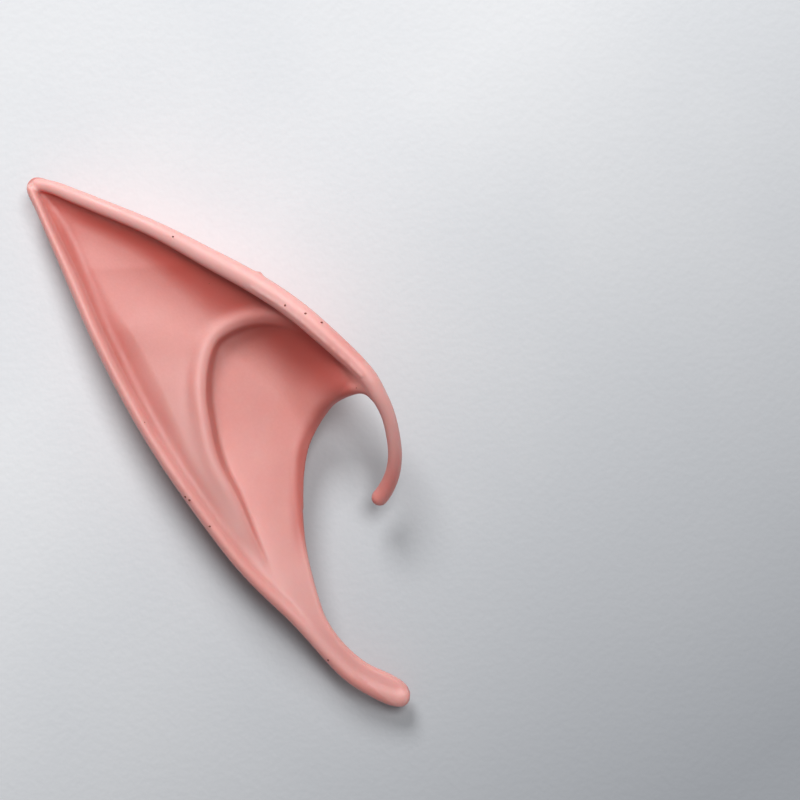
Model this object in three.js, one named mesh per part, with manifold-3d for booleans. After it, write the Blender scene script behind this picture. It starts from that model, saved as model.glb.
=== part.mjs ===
// A pointed ear tip, moulded in one piece of thin latex, lying face up.
// +X points to the face, +Y up the head, +Z outward from the head. Millimetres.
//
// The piece is a hollow sheet. Rows run across it from the rear outline to the
// front outline, one after another from the point down to the tail. In each row
// the outer skin goes over the sculpted face and round under the back, and the
// inner skin follows it one latex wall deeper. Where the back stops short of the
// front, the sheet has two free edges and the hollow for the wearer's ear is open.
//
// Three round rods are joined to it. One is the front rim, which runs on past the
// face and becomes the hook. One is the rear rim, which becomes the rounded edge
// of the tail. A short bead thickens the free edge where it meets the hook.

import * as THREE from 'three';
import { mergeVertices } from 'three/addons/utils/BufferGeometryUtils.js';
import Module from 'manifold-3d';

const wasm = await Module();
wasm.setup();

// Overall sizes
const EAR_WIDTH = 64.3;
const EAR_HEIGHT = 89;
const EAR_DEPTH = 19;

// The latex
const LATEX_WALL = 1.3;
const TAIL_THICKNESS = 2.2;

// The two rims that meet at the point: how wide the rolls are, how high for their
// width, how far they hang over the sides, and how wide a wall carries them
const FRONT_RIM_WIDTH = 3.5;
const REAR_RIM_WIDTH = 2.3;
const TAIL_EDGE_WIDTH = 3.2;
const RIM_FLATNESS = 0.85;
const RIM_OVERHANG = 0.15;
const RIM_NECK = 0.75;
const NECK_STEEPNESS = 14;

// The floor: how wide the valley is where it closes, and the step into the bowl
const VALLEY_CLOSING_WIDTH = 4;
const BOWL_WALL_RUN = 0.8;
const BOWL_FOOT_HEIGHT = 0.5;
const BOWL_FOOT_RUN = 1.2;

// The curled lip round the bowl, and the groove behind it
const LIP_WIDTH = 2.6;
const LIP_HEIGHT = 0.8;
const GROOVE_OFFSET = 3.3;
const GROOVE_WIDTH = 1.8;
const GROOVE_DEPTH = 0.25;

// The rolled edge of the bowl, and the rounding from the sides to the back
const EDGE_RISE_RUN = 8;
const EDGE_ROLL_WIDTH = 2.8;
const EDGE_ROLL_DROP = 2.2;
const BACK_ROUNDING = 8;

// The hook that tucks in front of the wearer's ear, the web that rises to its
// root from the bowl, and the bead on the edge of that web
const HOOK_DIAMETER = 2.35;
const HOOK_WEB = 18;
const HOOK_WEB_DEPTH = 2.4;
const EDGE_BEAD_WIDTH = 2.4;

// How finely the surfaces are cut
const TIP_ROWS = 28;
const BODY_ROWS = 34;
const UNDER_COLUMNS = 10;
const OUTLINE_STEPS = 90;
const ROD_SIDES = 10;
const FRONT_ROD_RINGS = 54;
const REAR_ROD_RINGS = 46;
const BEAD_RINGS = 12;
const RIM_KNOTS = 12;
const FRONT_GAP_COLUMNS = 3;
const REAR_GAP_COLUMNS = 6;

// How strongly the rows crowd towards the point, and towards the hook and tail
const TIP_CROWDING = 1.25;
const BODY_CROWDING = 0.6;

// Where a row has its points on a rim, as shares of the rim's width, and where
// a rod has its rings in a round end, as shares of the end's radius
const RIM_STATIONS = [0, 0.5, 0.68, 0.8, 1.1];
const END_RINGS = [0, 0.15, 0.5, 1];
const CORNER_STEPS = [0, 0.2, 0.4, 0.6, 0.8, 1];

// Limits that keep a form inside a narrow row: the least sine of the angle at
// which a row is taken to meet its outline, and shares of the row's width
const LEAST_SQUARENESS = 0.4;
const MOST_RIMS = 0.8;
const MOST_INSETS = 0.7;
const MOST_ROUNDING = 0.8;

// The bead as shares: how far the sheet stops short of it, how soon it is thin,
// how wide it starts in the hook. Then the cover at which the pocket is open.
const BEAD_INSET = 0.25;
const BEAD_THIN_AT = 0.625;
const BEAD_START = 0.8;
const POCKET_COVER = 0.2;

// Places along the rows: 0 is the point and 1 the end of the tail
const HOOK_AT = 0.27;
const HOLLOW_STARTS = 0.06;
const END_ROUNDING = 0.02;
const BEAD_REACH = 0.3;

// Where each rim starts on its outline, and how far it stops short of the end
const FRONT_RIM_STARTS = 0.07;
const FRONT_RIM_STOPS_SHORT = 0.1;
const REAR_RIM_STARTS = 0.05;
const REAR_RIM_STOPS_SHORT = 0.015;

// Where along the rows a form comes in or goes out
const PAST_HOOK = { from: HOOK_AT, to: 0.35 };
const PAST_FRONT_RIM = { from: 0.2, to: 0.26 };
const TAIL_THICKENS = { from: 0.62, to: 0.78 };
const TAIL_EDGE_WIDENS = { from: 0.66, to: 0.82 };
const LIP_COMES = { from: 0.15, to: 0.19 };
const LIP_GOES = { from: 0.6, to: 0.7 };
const GROOVE_COMES = { from: 0.2, to: 0.24 };
const GROOVE_GOES = { from: 0.38, to: 0.48 };

// Outlines seen from above, as shares of the width and height
const REAR_OUTLINE = [
  { x: 0.005, y: 0.994 },
  { x: 0.000, y: 0.981 },
  { x: 0.016, y: 0.955 },
  { x: 0.096, y: 0.828 },
  { x: 0.196, y: 0.670 },
  { x: 0.323, y: 0.502 },
  { x: 0.490, y: 0.325 },
  { x: 0.567, y: 0.255 },
  { x: 0.712, y: 0.148 },
  { x: 0.775, y: 0.094 },
  { x: 0.847, y: 0.043 },
  { x: 0.920, y: 0.013 },
  { x: 0.970, y: 0.000 },
  { x: 0.990, y: 0.006 },
  { x: 1.000, y: 0.021 },
];
const FRONT_OUTLINE = [
  { x: 0.005, y: 0.994 },
  { x: 0.023, y: 1.000 },
  { x: 0.070, y: 0.990 },
  { x: 0.194, y: 0.956 },
  { x: 0.350, y: 0.909 },
  { x: 0.505, y: 0.853 },
  { x: 0.614, y: 0.811 },
  { x: 0.725, y: 0.757 },
  { x: 0.829, y: 0.689 },
  { x: 0.868, y: 0.652 },
  { x: 0.896, y: 0.617 },
];
const CUT_OUTLINE = [
  { x: 0.896, y: 0.617 },
  { x: 0.866, y: 0.594 },
  { x: 0.837, y: 0.589 },
  { x: 0.816, y: 0.581 },
  { x: 0.782, y: 0.557 },
  { x: 0.749, y: 0.519 },
  { x: 0.728, y: 0.479 },
  { x: 0.720, y: 0.431 },
  { x: 0.719, y: 0.388 },
  { x: 0.728, y: 0.309 },
  { x: 0.754, y: 0.228 },
  { x: 0.782, y: 0.170 },
  { x: 0.824, y: 0.125 },
  { x: 0.883, y: 0.086 },
  { x: 0.953, y: 0.060 },
  { x: 0.987, y: 0.043 },
  { x: 1.000, y: 0.021 },
];
const LIP_LINE = [
  { x: 0.829, y: 0.727 },
  { x: 0.720, y: 0.713 },
  { x: 0.661, y: 0.720 },
  { x: 0.614, y: 0.722 },
  { x: 0.557, y: 0.714 },
  { x: 0.503, y: 0.691 },
  { x: 0.482, y: 0.655 },
  { x: 0.474, y: 0.600 },
  { x: 0.483, y: 0.543 },
  { x: 0.507, y: 0.468 },
  { x: 0.557, y: 0.393 },
  { x: 0.600, y: 0.316 },
  { x: 0.712, y: 0.131 },
];
const RIDGE_LINE = [
  { x: 0.030, y: 0.975 },
  { x: 0.091, y: 0.927 },
  { x: 0.143, y: 0.861 },
  { x: 0.194, y: 0.802 },
  { x: 0.246, y: 0.740 },
  { x: 0.298, y: 0.683 },
  { x: 0.355, y: 0.609 },
  { x: 0.394, y: 0.547 },
  { x: 0.446, y: 0.468 },
  { x: 0.508, y: 0.393 },
  { x: 0.572, y: 0.316 },
  { x: 0.650, y: 0.230 },
  { x: 0.740, y: 0.140 },
  { x: 0.850, y: 0.070 },
];

// Where both rims start, and the hook's middle line. z is a share of the depth,
// size of the hook's diameter.
const NOSE = { x: 0.017, y: 0.984 };
const HOOK_LINE = [
  { x: 0.886, y: 0.626, z: 0.905, size: 1.3 },
  { x: 0.915, y: 0.593, z: 0.880, size: 1.16 },
  { x: 0.940, y: 0.556, z: 0.815, size: 1 },
  { x: 0.954, y: 0.515, z: 0.720, size: 0.97 },
  { x: 0.959, y: 0.475, z: 0.620, size: 0.99 },
  { x: 0.951, y: 0.440, z: 0.525, size: 1.06 },
  { x: 0.934, y: 0.411, z: 0.440, size: 1.16 },
  { x: 0.918, y: 0.394, z: 0.390, size: 1.18 },
];

// Places along the bead, as shares of its reach.
const BEAD_PLACES = [0.06, 0.13, 0.2, 0.3, 0.4, 0.55, 0.7, 0.85, 1];

// Heights of each section as shares of the depth, at a place along the rows.
// rear and front are the tops of the rims, belt the widest level of the sides,
// back the underside. valley, ridge and fossa make the floor across a row from
// rear to front, concha is the bowl's floor and edge its rolled edge.
// rearWidth and frontWidth are shares of the rims' widths, roll of the rolled
// edge's drop. lipAt is a share of the row from the rear. cover is how much of
// the way from the rear rim round the back to the front rim is latex.
const SECTIONS = [
  { at: 0.00, rear: 0.41, front: 0.41, belt: 0.33, back: 0.27, valley: 0.34, ridge: 0.35, fossa: 0.35,
    concha: 0.35, edge: 0.35, rearWidth: 0.85, frontWidth: 0.57, roll: 1, lipAt: 0.60, cover: 1 },
  { at: 0.04, rear: 0.45, front: 0.49, belt: 0.32, back: 0.19, valley: 0.32, ridge: 0.34, fossa: 0.32,
    concha: 0.33, edge: 0.33, rearWidth: 0.75, frontWidth: 0.70, roll: 1, lipAt: 0.62, cover: 1 },
  { at: 0.09, rear: 0.51, front: 0.62, belt: 0.32, back: 0.10, valley: 0.33, ridge: 0.38, fossa: 0.33,
    concha: 0.34, edge: 0.34, rearWidth: 0.80, frontWidth: 0.77, roll: 1, lipAt: 0.66, cover: 1 },
  { at: 0.15, rear: 0.59, front: 0.77, belt: 0.34, back: 0.03, valley: 0.38, ridge: 0.46, fossa: 0.37,
    concha: 0.37, edge: 0.38, rearWidth: 0.95, frontWidth: 0.98, roll: 1, lipAt: 0.70, cover: 1 },
  { at: 0.21, rear: 0.66, front: 0.90, belt: 0.36, back: 0.00, valley: 0.43, ridge: 0.54, fossa: 0.45,
    concha: 0.39, edge: 0.42, rearWidth: 1.00, frontWidth: 1.00, roll: 1, lipAt: 0.68, cover: 0.91 },
  { at: 0.24, rear: 0.69, front: 0.96, belt: 0.37, back: 0.00, valley: 0.45, ridge: 0.57, fossa: 0.49,
    concha: 0.39, edge: 0.43, rearWidth: 1.00, frontWidth: 0.97, roll: 1, lipAt: 0.49, cover: 0.82 },
  { at: 0.27, rear: 0.71, front: 0.99, belt: 0.38, back: 0.00, valley: 0.47, ridge: 0.59, fossa: 0.52,
    concha: 0.39, edge: 0.44, rearWidth: 1.00, frontWidth: 0.92, roll: 1, lipAt: 0.39, cover: 0.74 },
  { at: 0.34, rear: 0.73, front: 0.98, belt: 0.39, back: 0.00, valley: 0.49, ridge: 0.62, fossa: 0.55,
    concha: 0.39, edge: 0.45, rearWidth: 1.00, frontWidth: 0.90, roll: 1, lipAt: 0.38, cover: 0.64 },
  { at: 0.42, rear: 0.73, front: 0.94, belt: 0.39, back: 0.00, valley: 0.49, ridge: 0.63, fossa: 0.54,
    concha: 0.39, edge: 0.46, rearWidth: 1.00, frontWidth: 0.90, roll: 1, lipAt: 0.40, cover: 0.57 },
  { at: 0.50, rear: 0.70, front: 0.88, belt: 0.38, back: 0.00, valley: 0.48, ridge: 0.61, fossa: 0.53,
    concha: 0.41, edge: 0.46, rearWidth: 1.00, frontWidth: 0.90, roll: 0.8, lipAt: 0.43, cover: 0.5 },
  { at: 0.60, rear: 0.63, front: 0.80, belt: 0.35, back: 0.02, valley: 0.47, ridge: 0.55, fossa: 0.50,
    concha: 0.43, edge: 0.46, rearWidth: 1.00, frontWidth: 0.90, roll: 0.4, lipAt: 0.46, cover: 0.42 },
  { at: 0.70, rear: 0.54, front: 0.70, belt: 0.30, back: 0.08, valley: 0.46, ridge: 0.48, fossa: 0.48,
    concha: 0.45, edge: 0.46, rearWidth: 0.95, frontWidth: 0.90, roll: 0.3, lipAt: 0.42, cover: 0.27 },
  { at: 0.80, rear: 0.44, front: 0.60, belt: 0.24, back: 0.14, valley: 0.43, ridge: 0.43, fossa: 0.43,
    concha: 0.43, edge: 0.42, rearWidth: 0.90, frontWidth: 0.90, roll: 0.3, lipAt: 0.50, cover: 0 },
  { at: 0.90, rear: 0.34, front: 0.40, belt: 0.18, back: 0.12, valley: 0.33, ridge: 0.33, fossa: 0.33,
    concha: 0.33, edge: 0.32, rearWidth: 0.80, frontWidth: 0.90, roll: 0.3, lipAt: 0.50, cover: 0 },
  { at: 1.00, rear: 0.24, front: 0.30, belt: 0.12, back: 0.05, valley: 0.23, ridge: 0.23, fossa: 0.23,
    concha: 0.23, edge: 0.23, rearWidth: 0.80, frontWidth: 0.90, roll: 0.3, lipAt: 0.50, cover: 0 },
];

// Small tools

function clamp(value, low, high) {
  return Math.min(high, Math.max(low, value));
}

function smoothStep(value) {
  const t = clamp(value, 0, 1);
  return t * t * (3 - 2 * t);
}

// 0 before a form comes in, 1 once it is all there.
function fade(at, { from, to }) {
  return smoothStep((at - from) / (to - from));
}

// Height of a quarter circle that starts upright at 0 and is level from 1 on.
function quarterCircle(value) {
  const t = 1 - clamp(value, 0, 1);
  return Math.sqrt(1 - t * t);
}

function bump(distance, width) {
  const t = distance / (width / 2);
  return Math.exp(-t * t);
}

function mix(from, to, share) {
  return from + (to - from) * share;
}

// 1 inside a wall, half way down at its width.
function wallShare(fromOutline, width) {
  return 1 / (1 + (fromOutline / width) ** NECK_STEEPNESS);
}

function curveThrough(points) {
  const placed = points.map(({ x, y, z = 0 }) => (
    new THREE.Vector3(x * EAR_WIDTH, y * EAR_HEIGHT, z * EAR_DEPTH)
  ));
  return new THREE.CatmullRomCurve3(placed, false, 'centripetal');
}

const rearCurve = curveThrough(REAR_OUTLINE);
const frontCurve = curveThrough(FRONT_OUTLINE);
const cutCurve = curveThrough(CUT_OUTLINE);

const rearLine = rearCurve.getSpacedPoints(OUTLINE_STEPS);
const frontLine = frontCurve.getSpacedPoints(OUTLINE_STEPS);
const cutLine = cutCurve.getSpacedPoints(OUTLINE_STEPS);
const lipLine = curveThrough(LIP_LINE).getSpacedPoints(OUTLINE_STEPS);
const ridgeLine = curveThrough(RIDGE_LINE).getSpacedPoints(OUTLINE_STEPS);
const hookRoot = frontLine.at(-1);

// Distance from a point to a line, positive on the line's left side.
function signedDistance(point, line) {
  let nearest = Infinity;
  let side = 1;
  for (let i = 0; i + 1 < line.length; i += 1) {
    const ax = line[i].x;
    const ay = line[i].y;
    const dx = line[i + 1].x - ax;
    const dy = line[i + 1].y - ay;
    const px = point.x - ax;
    const py = point.y - ay;
    const along = clamp((px * dx + py * dy) / (dx * dx + dy * dy), 0, 1);
    const gap = Math.hypot(px - along * dx, py - along * dy);
    if (gap < nearest) {
      nearest = gap;
      side = Math.sign(dx * py - dy * px) || 1;
    }
  }
  return nearest * side;
}

function distance(point, line) {
  return Math.abs(signedDistance(point, line));
}

// One column of the section table as a smooth curve through its values.
function column(name) {
  const knots = SECTIONS.map((section) => section[name]);
  const places = SECTIONS.map((section) => section.at);
  return (at) => {
    let i = 0;
    while (i < places.length - 2 && at > places[i + 1]) i += 1;
    const before = Math.max(i - 1, 0);
    const after = Math.min(i + 2, places.length - 1);
    const span = places[i + 1] - places[i];
    const t = (at - places[i]) / span;
    const slopeIn = (knots[i + 1] - knots[before]) / (places[i + 1] - places[before]) * span;
    const slopeOut = (knots[after] - knots[i]) / (places[after] - places[i]) * span;
    const t2 = t * t;
    const t3 = t2 * t;
    return (2 * t3 - 3 * t2 + 1) * knots[i] + (t3 - 2 * t2 + t) * slopeIn
      + (3 * t2 - 2 * t3) * knots[i + 1] + (t3 - t2) * slopeOut;
  };
}

const columnOf = Object.fromEntries(
  Object.keys(SECTIONS[0]).filter((name) => name !== 'at').map((name) => [name, column(name)]),
);

// Everything that holds for one whole row.
function sectionAt(at) {
  const rearPoint = rearCurve.getPointAt(at);
  const onFront = at <= HOOK_AT;
  const frontShare = onFront ? at / HOOK_AT : (at - HOOK_AT) / (1 - HOOK_AT);
  const frontEdge = onFront ? frontCurve : cutCurve;
  const frontPoint = frontEdge.getPointAt(frontShare);
  const span = new THREE.Vector3().subVectors(frontPoint, rearPoint);
  const direction = span.length() > 0 ? span.clone().normalize() : new THREE.Vector3(1, 0, 0);
  const beaded = smoothStep((at - HOOK_AT) / END_ROUNDING) * (1 - smoothStep((at - HOOK_AT) / BEAD_REACH));
  const width = span.length() - beaded * EDGE_BEAD_WIDTH * BEAD_INSET;
  const squareness = (curve, share) => {
    const tangent = curve.getTangentAt(share);
    return Math.max(Math.abs(direction.x * tangent.y - direction.y * tangent.x), LEAST_SQUARENESS);
  };
  const height = (name) => columnOf[name](at) * EAR_DEPTH;
  return {
    at,
    rearPoint,
    direction,
    width,
    rearSquareness: squareness(rearCurve, at),
    frontSquareness: mix(
      squareness(frontCurve, Math.min(at / HOOK_AT, 1)),
      squareness(cutCurve, onFront ? 0 : frontShare),
      fade(at, PAST_HOOK),
    ),
    rear: height('rear'),
    front: height('front'),
    belt: height('belt'),
    back: Math.max(height('back'), 0),
    valley: height('valley'),
    ridge: height('ridge'),
    fossa: height('fossa'),
    concha: height('concha'),
    edge: height('edge'),
    rearWidth: columnOf.rearWidth(at) * REAR_RIM_WIDTH,
    frontWidth: columnOf.frontWidth(at) * FRONT_RIM_WIDTH,
    roll: columnOf.roll(at),
    lipAt: columnOf.lipAt(at),
    cover: clamp(columnOf.cover(at), 0, 1),
    thickness: mix(LATEX_WALL, TAIL_THICKNESS, fade(at, TAIL_THICKENS)),
  };
}

function placeOn(row, fromRear) {
  return row.rearPoint.clone().addScaledVector(row.direction, fromRear);
}

// The floor between the rims: it rises from the valley to the ridge and falls
// gently from there to the hollow in front.
function ridgeFloor(row, point) {
  const fromRidge = signedDistance(point, ridgeLine);
  const fromRearRim = Math.max(distance(point, rearLine) - row.rearWidth * RIM_NECK, 0);
  const fromFront = distance(point, frontLine);
  const toRidge = Math.abs(fromRidge);
  const gap = fromRearRim + toRidge;
  if (fromRidge < 0) {
    const valley = mix(row.ridge, row.valley, smoothStep(gap / VALLEY_CLOSING_WIDTH));
    return mix(valley, row.ridge, smoothStep(fromRearRim / Math.max(gap, 1e-6)));
  }
  return mix(row.ridge, row.fossa, smoothStep(toRidge / Math.max(toRidge + fromFront, 1e-6)));
}

// 1 at the root of the hook, fading out all round it.
function webShare(point) {
  const away = Math.hypot(point.x - hookRoot.x, point.y - hookRoot.y);
  return smoothStep(1 - away / HOOK_WEB) ** 2;
}

// The floor with the bowl let into it, and the web that rises to the hook. A
// positive shift widens the bowl.
function floorHeight(row, point, shift) {
  const intoBowl = signedDistance(point, lipLine) + shift;
  const fromCut = distance(point, cutLine);
  const foot = BOWL_FOOT_HEIGHT * Math.exp(-Math.max(intoBowl, 0) / BOWL_FOOT_RUN);
  const bowl = mix(row.concha, row.edge, smoothStep(1 - fromCut / EDGE_RISE_RUN)) + foot;
  const shoulder = ridgeFloor(row, point);
  const floor = mix(shoulder, Math.min(bowl, shoulder), smoothStep(intoBowl / BOWL_WALL_RUN));
  return mix(floor, row.front - HOOK_WEB_DEPTH, webShare(point));
}

function rollDrop(row, point) {
  return EDGE_ROLL_DROP * row.roll * (1 - webShare(point));
}

// Height of the outer face: the floor, the low walls that carry the rims, the
// lip, its groove and the rolled edge.
function faceHeight(row, fromRear) {
  const point = placeOn(row, fromRear);
  const intoBowl = signedDistance(point, lipLine);
  const rearWall = wallShare(distance(point, rearLine), row.rearWidth * RIM_NECK);
  const frontWall = wallShare(distance(point, frontLine), row.frontWidth * RIM_NECK);
  const walls = rearWall + frontWall - rearWall * frontWall;
  const rearTop = row.rear - row.rearWidth * RIM_FLATNESS / 2;
  const frontTop = row.front - row.frontWidth * RIM_FLATNESS / 2;
  const wallTop = (rearTop * rearWall + frontTop * frontWall) / (rearWall + frontWall + 1e-9);
  const lip = LIP_HEIGHT * fade(row.at, LIP_COMES) * (1 - fade(row.at, LIP_GOES));
  const groove = GROOVE_DEPTH * fade(row.at, GROOVE_COMES) * (1 - fade(row.at, GROOVE_GOES));
  const rolled = 1 - quarterCircle(distance(point, cutLine) / (EDGE_ROLL_WIDTH * row.roll));
  let height = floorHeight(row, point, 0);
  height += lip * bump(intoBowl + LIP_WIDTH / 2, LIP_WIDTH);
  height -= groove * bump(intoBowl + GROOVE_OFFSET, GROOVE_WIDTH);
  height = mix(height, wallTop, walls);
  return height - rollDrop(row, point) * rolled * (1 - frontWall);
}

// Height of the inner face, above the wearer's ear: the floor without its rims
// and lip, one thickness deeper, curled down along the rolled edge.
function innerHeight(row, fromRear) {
  const point = placeOn(row, fromRear);
  const curl = Math.max(rollDrop(row, point) - row.thickness, 0);
  const room = Math.max(EDGE_ROLL_WIDTH - row.thickness, 0.1);
  const rolled = (distance(point, cutLine) - row.thickness) / room;
  const floor = floorHeight(row, point, row.thickness);
  return floor - row.thickness - curl * (1 - quarterCircle(rolled));
}

// How far the inner face lies inside the outline at the rear and at the front.
function insets(row) {
  const front = mix(FRONT_RIM_WIDTH, row.thickness, fade(row.at, PAST_FRONT_RIM)) / row.frontSquareness;
  const pocket = smoothStep(row.cover / POCKET_COVER);
  const rear = mix(TAIL_EDGE_WIDTH / 2, REAR_RIM_WIDTH, pocket) / row.rearSquareness;
  const squeeze = Math.min(1, MOST_INSETS * row.width / (front + rear));
  return { front: front * squeeze, rear: rear * squeeze };
}

// Places across the face where the skin has a point, dense on rims and lip.
function faceStations(row) {
  const front = RIM_STATIONS.map((step) => step * FRONT_RIM_WIDTH / row.frontSquareness);
  const rear = RIM_STATIONS.map((step) => step * REAR_RIM_WIDTH / row.rearSquareness);
  const rimsTogether = front.at(-1) + rear.at(-1);
  const squeeze = Math.min(1, MOST_RIMS * row.width / rimsTogether);
  const frontEnd = row.width - front.at(-1) * squeeze;
  const rearEnd = rear.at(-1) * squeeze;
  const lipPlace = clamp(row.lipAt * row.width, rearEnd, frontEnd);
  const lipSteps = [BOWL_WALL_RUN, 0.5 * BOWL_WALL_RUN, 0, -0.5 * LIP_WIDTH, -LIP_WIDTH];
  const lip = lipSteps.map((step) => {
    const room = step > 0 ? frontEnd - lipPlace : lipPlace - rearEnd;
    return lipPlace + Math.sign(step) * Math.min(Math.abs(step), room * Math.abs(step) / 4);
  });
  const between = (from, to, count) => (
    Array.from({ length: count }, (_, i) => mix(from, to, (i + 1) / (count + 1)))
  );
  return [
    ...front.map((step) => row.width - step * squeeze),
    ...between(frontEnd, lip[0], FRONT_GAP_COLUMNS),
    ...lip,
    ...between(lip.at(-1), rearEnd, REAR_GAP_COLUMNS),
    ...rear.toReversed().map((step) => step * squeeze),
  ];
}

// Points spaced evenly along the first part of a path.
function alongPath(path, coverShare, count) {
  const lengths = [0];
  for (let i = 1; i < path.length; i += 1) {
    lengths.push(lengths[i - 1] + path[i].distanceTo(path[i - 1]));
  }
  const total = lengths.at(-1) * coverShare;
  const points = [];
  for (let k = 1; k <= count; k += 1) {
    const wanted = total * k / count;
    let i = 1;
    while (i < path.length - 1 && lengths[i] < wanted) i += 1;
    const span = lengths[i] - lengths[i - 1];
    const share = span > 0 ? (wanted - lengths[i - 1]) / span : 0;
    points.push(new THREE.Vector3().lerpVectors(path[i - 1], path[i], clamp(share, 0, 1)));
  }
  return points;
}

// The way from the rear end of a face round the back to its front end. inset is
// how far the skin lies inside the outline.
function underPath(row, rearTop, frontTop, inset) {
  const rearSide = inset / row.rearSquareness;
  const frontSide = row.width - inset / row.frontSquareness;
  const room = (frontSide - rearSide) / 2;
  const rounding = Math.min(BACK_ROUNDING - inset, room * MOST_ROUNDING);
  const back = row.back + inset;
  const belt = Math.max(Math.min(row.belt, rearTop.z, frontTop.z), back);
  const corner = (centre, sign) => (step) => {
    const angle = step * Math.PI / 2;
    const point = placeOn(row, centre - sign * rounding * Math.cos(angle));
    point.z = belt - (belt - back) * Math.sin(angle);
    return point;
  };
  const rearCorner = CORNER_STEPS.map(corner(rearSide + rounding, 1));
  const frontCorner = CORNER_STEPS.toReversed().map(corner(frontSide - rounding, -1));
  return [rearTop, ...rearCorner, ...frontCorner, frontTop];
}

// The point and the end of the tail are round: every row near them is drawn in
// towards one point.
function endPoint(at) {
  const point = rearCurve.getPointAt(at);
  const edges = columnOf.valley(at) + columnOf.back(at);
  point.z = EAR_DEPTH * edges / 2;
  return point;
}

const tipPoint = endPoint(0);
const tailPoint = endPoint(1);

function roundedEnd(row, points) {
  const fromEnd = Math.min(row.at, 1 - row.at) / END_ROUNDING;
  const end = row.at < 0.5 ? tipPoint : tailPoint;
  const share = quarterCircle(fromEnd);
  for (const point of points) {
    point.z = mix(end.z, point.z, share);
  }
  return points;
}

function outerRow(row) {
  const face = faceStations(row).map((fromRear) => {
    const point = placeOn(row, fromRear);
    point.z = faceHeight(row, fromRear);
    return point;
  });
  const path = underPath(row, face.at(-1), face[0], 0);
  return roundedEnd(row, [...face, ...alongPath(path, row.cover, UNDER_COLUMNS)]);
}

function innerRow(row) {
  const inset = insets(row);
  const face = faceStations(row).map((fromRear) => {
    const place = mix(inset.rear, row.width - inset.front, fromRear / row.width);
    const point = placeOn(row, place);
    point.z = innerHeight(row, place);
    return point;
  });
  const path = underPath(row, face.at(-1), face[0], LATEX_WALL);
  return roundedEnd(row, [...face, ...alongPath(path, row.cover, UNDER_COLUMNS)]);
}

function repeatPoint(point, count) {
  return Array.from({ length: count }, () => point.clone());
}

// Triangles of a sheet through rows of points, and of a strip between two lines.

function sheet(rows, turned) {
  const triangles = [];
  for (let i = 0; i + 1 < rows.length; i += 1) {
    for (let j = 0; j + 1 < rows[i].length; j += 1) {
      const a = rows[i][j];
      const b = rows[i][j + 1];
      const c = rows[i + 1][j + 1];
      const d = rows[i + 1][j];
      if (turned) {
        triangles.push([a, c, b], [a, d, c]);
      } else {
        triangles.push([a, b, c], [a, c, d]);
      }
    }
  }
  return triangles;
}

function solidFrom(triangles) {
  const positions = triangles.flat().flatMap((point) => [point.x, point.y, point.z]);
  const loose = new THREE.BufferGeometry();
  loose.setAttribute('position', new THREE.Float32BufferAttribute(positions, 3));
  const merged = mergeVertices(loose, 1e-3);
  const index = merged.index.array;
  const kept = [];
  for (let i = 0; i < index.length; i += 3) {
    const [a, b, c] = [index[i], index[i + 1], index[i + 2]];
    if (a !== b && b !== c && c !== a) kept.push(a, b, c);
  }
  return new wasm.Manifold(new wasm.Mesh({
    numProp: 3,
    vertProperties: new Float32Array(merged.attributes.position.array),
    triVerts: new Uint32Array(kept),
  }));
}

// Places of the rows, closer together at the point, the hook and the tail.
function rowPlaces() {
  const places = [];
  for (let i = 0; i < TIP_ROWS; i += 1) {
    places.push(HOOK_AT * (i / TIP_ROWS) ** TIP_CROWDING);
  }
  for (let i = 0; i <= BODY_ROWS; i += 1) {
    const t = i / BODY_ROWS;
    const eased = t - BODY_CROWDING * Math.sin(2 * Math.PI * t) / (2 * Math.PI);
    places.push(mix(HOOK_AT, 1, eased));
  }
  return places;
}

function makeShell() {
  const rows = rowPlaces().map(sectionAt);
  const outer = rows.map(outerRow);
  const count = outer[0].length;
  outer[0] = repeatPoint(tipPoint, count);
  outer[outer.length - 1] = repeatPoint(tailPoint, count);

  const first = rows.findIndex((row) => row.at >= HOLLOW_STARTS);
  const inner = rows.map((row, i) => (i < first ? outer[i] : innerRow(row)));
  const middle = inner[first].reduce((sum, point) => sum.add(point), new THREE.Vector3());
  inner[first] = repeatPoint(middle.divideScalar(count), count);
  inner[inner.length - 1] = repeatPoint(tailPoint, count);

  const triangles = [...sheet(outer, false), ...sheet(inner.slice(first), true)];
  for (let i = first; i + 1 < rows.length; i += 1) {
    const open = rows[i].cover < 1 || rows[i + 1].cover < 1;
    if (!open) continue;
    const frontEdge = [[outer[i][0], inner[i][0]], [outer[i + 1][0], inner[i + 1][0]]];
    const backEdge = [[outer[i].at(-1), inner[i].at(-1)], [outer[i + 1].at(-1), inner[i + 1].at(-1)]];
    triangles.push(...sheet(frontEdge, true), ...sheet(backEdge, false));
  }
  return solidFrom(triangles);
}

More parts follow.
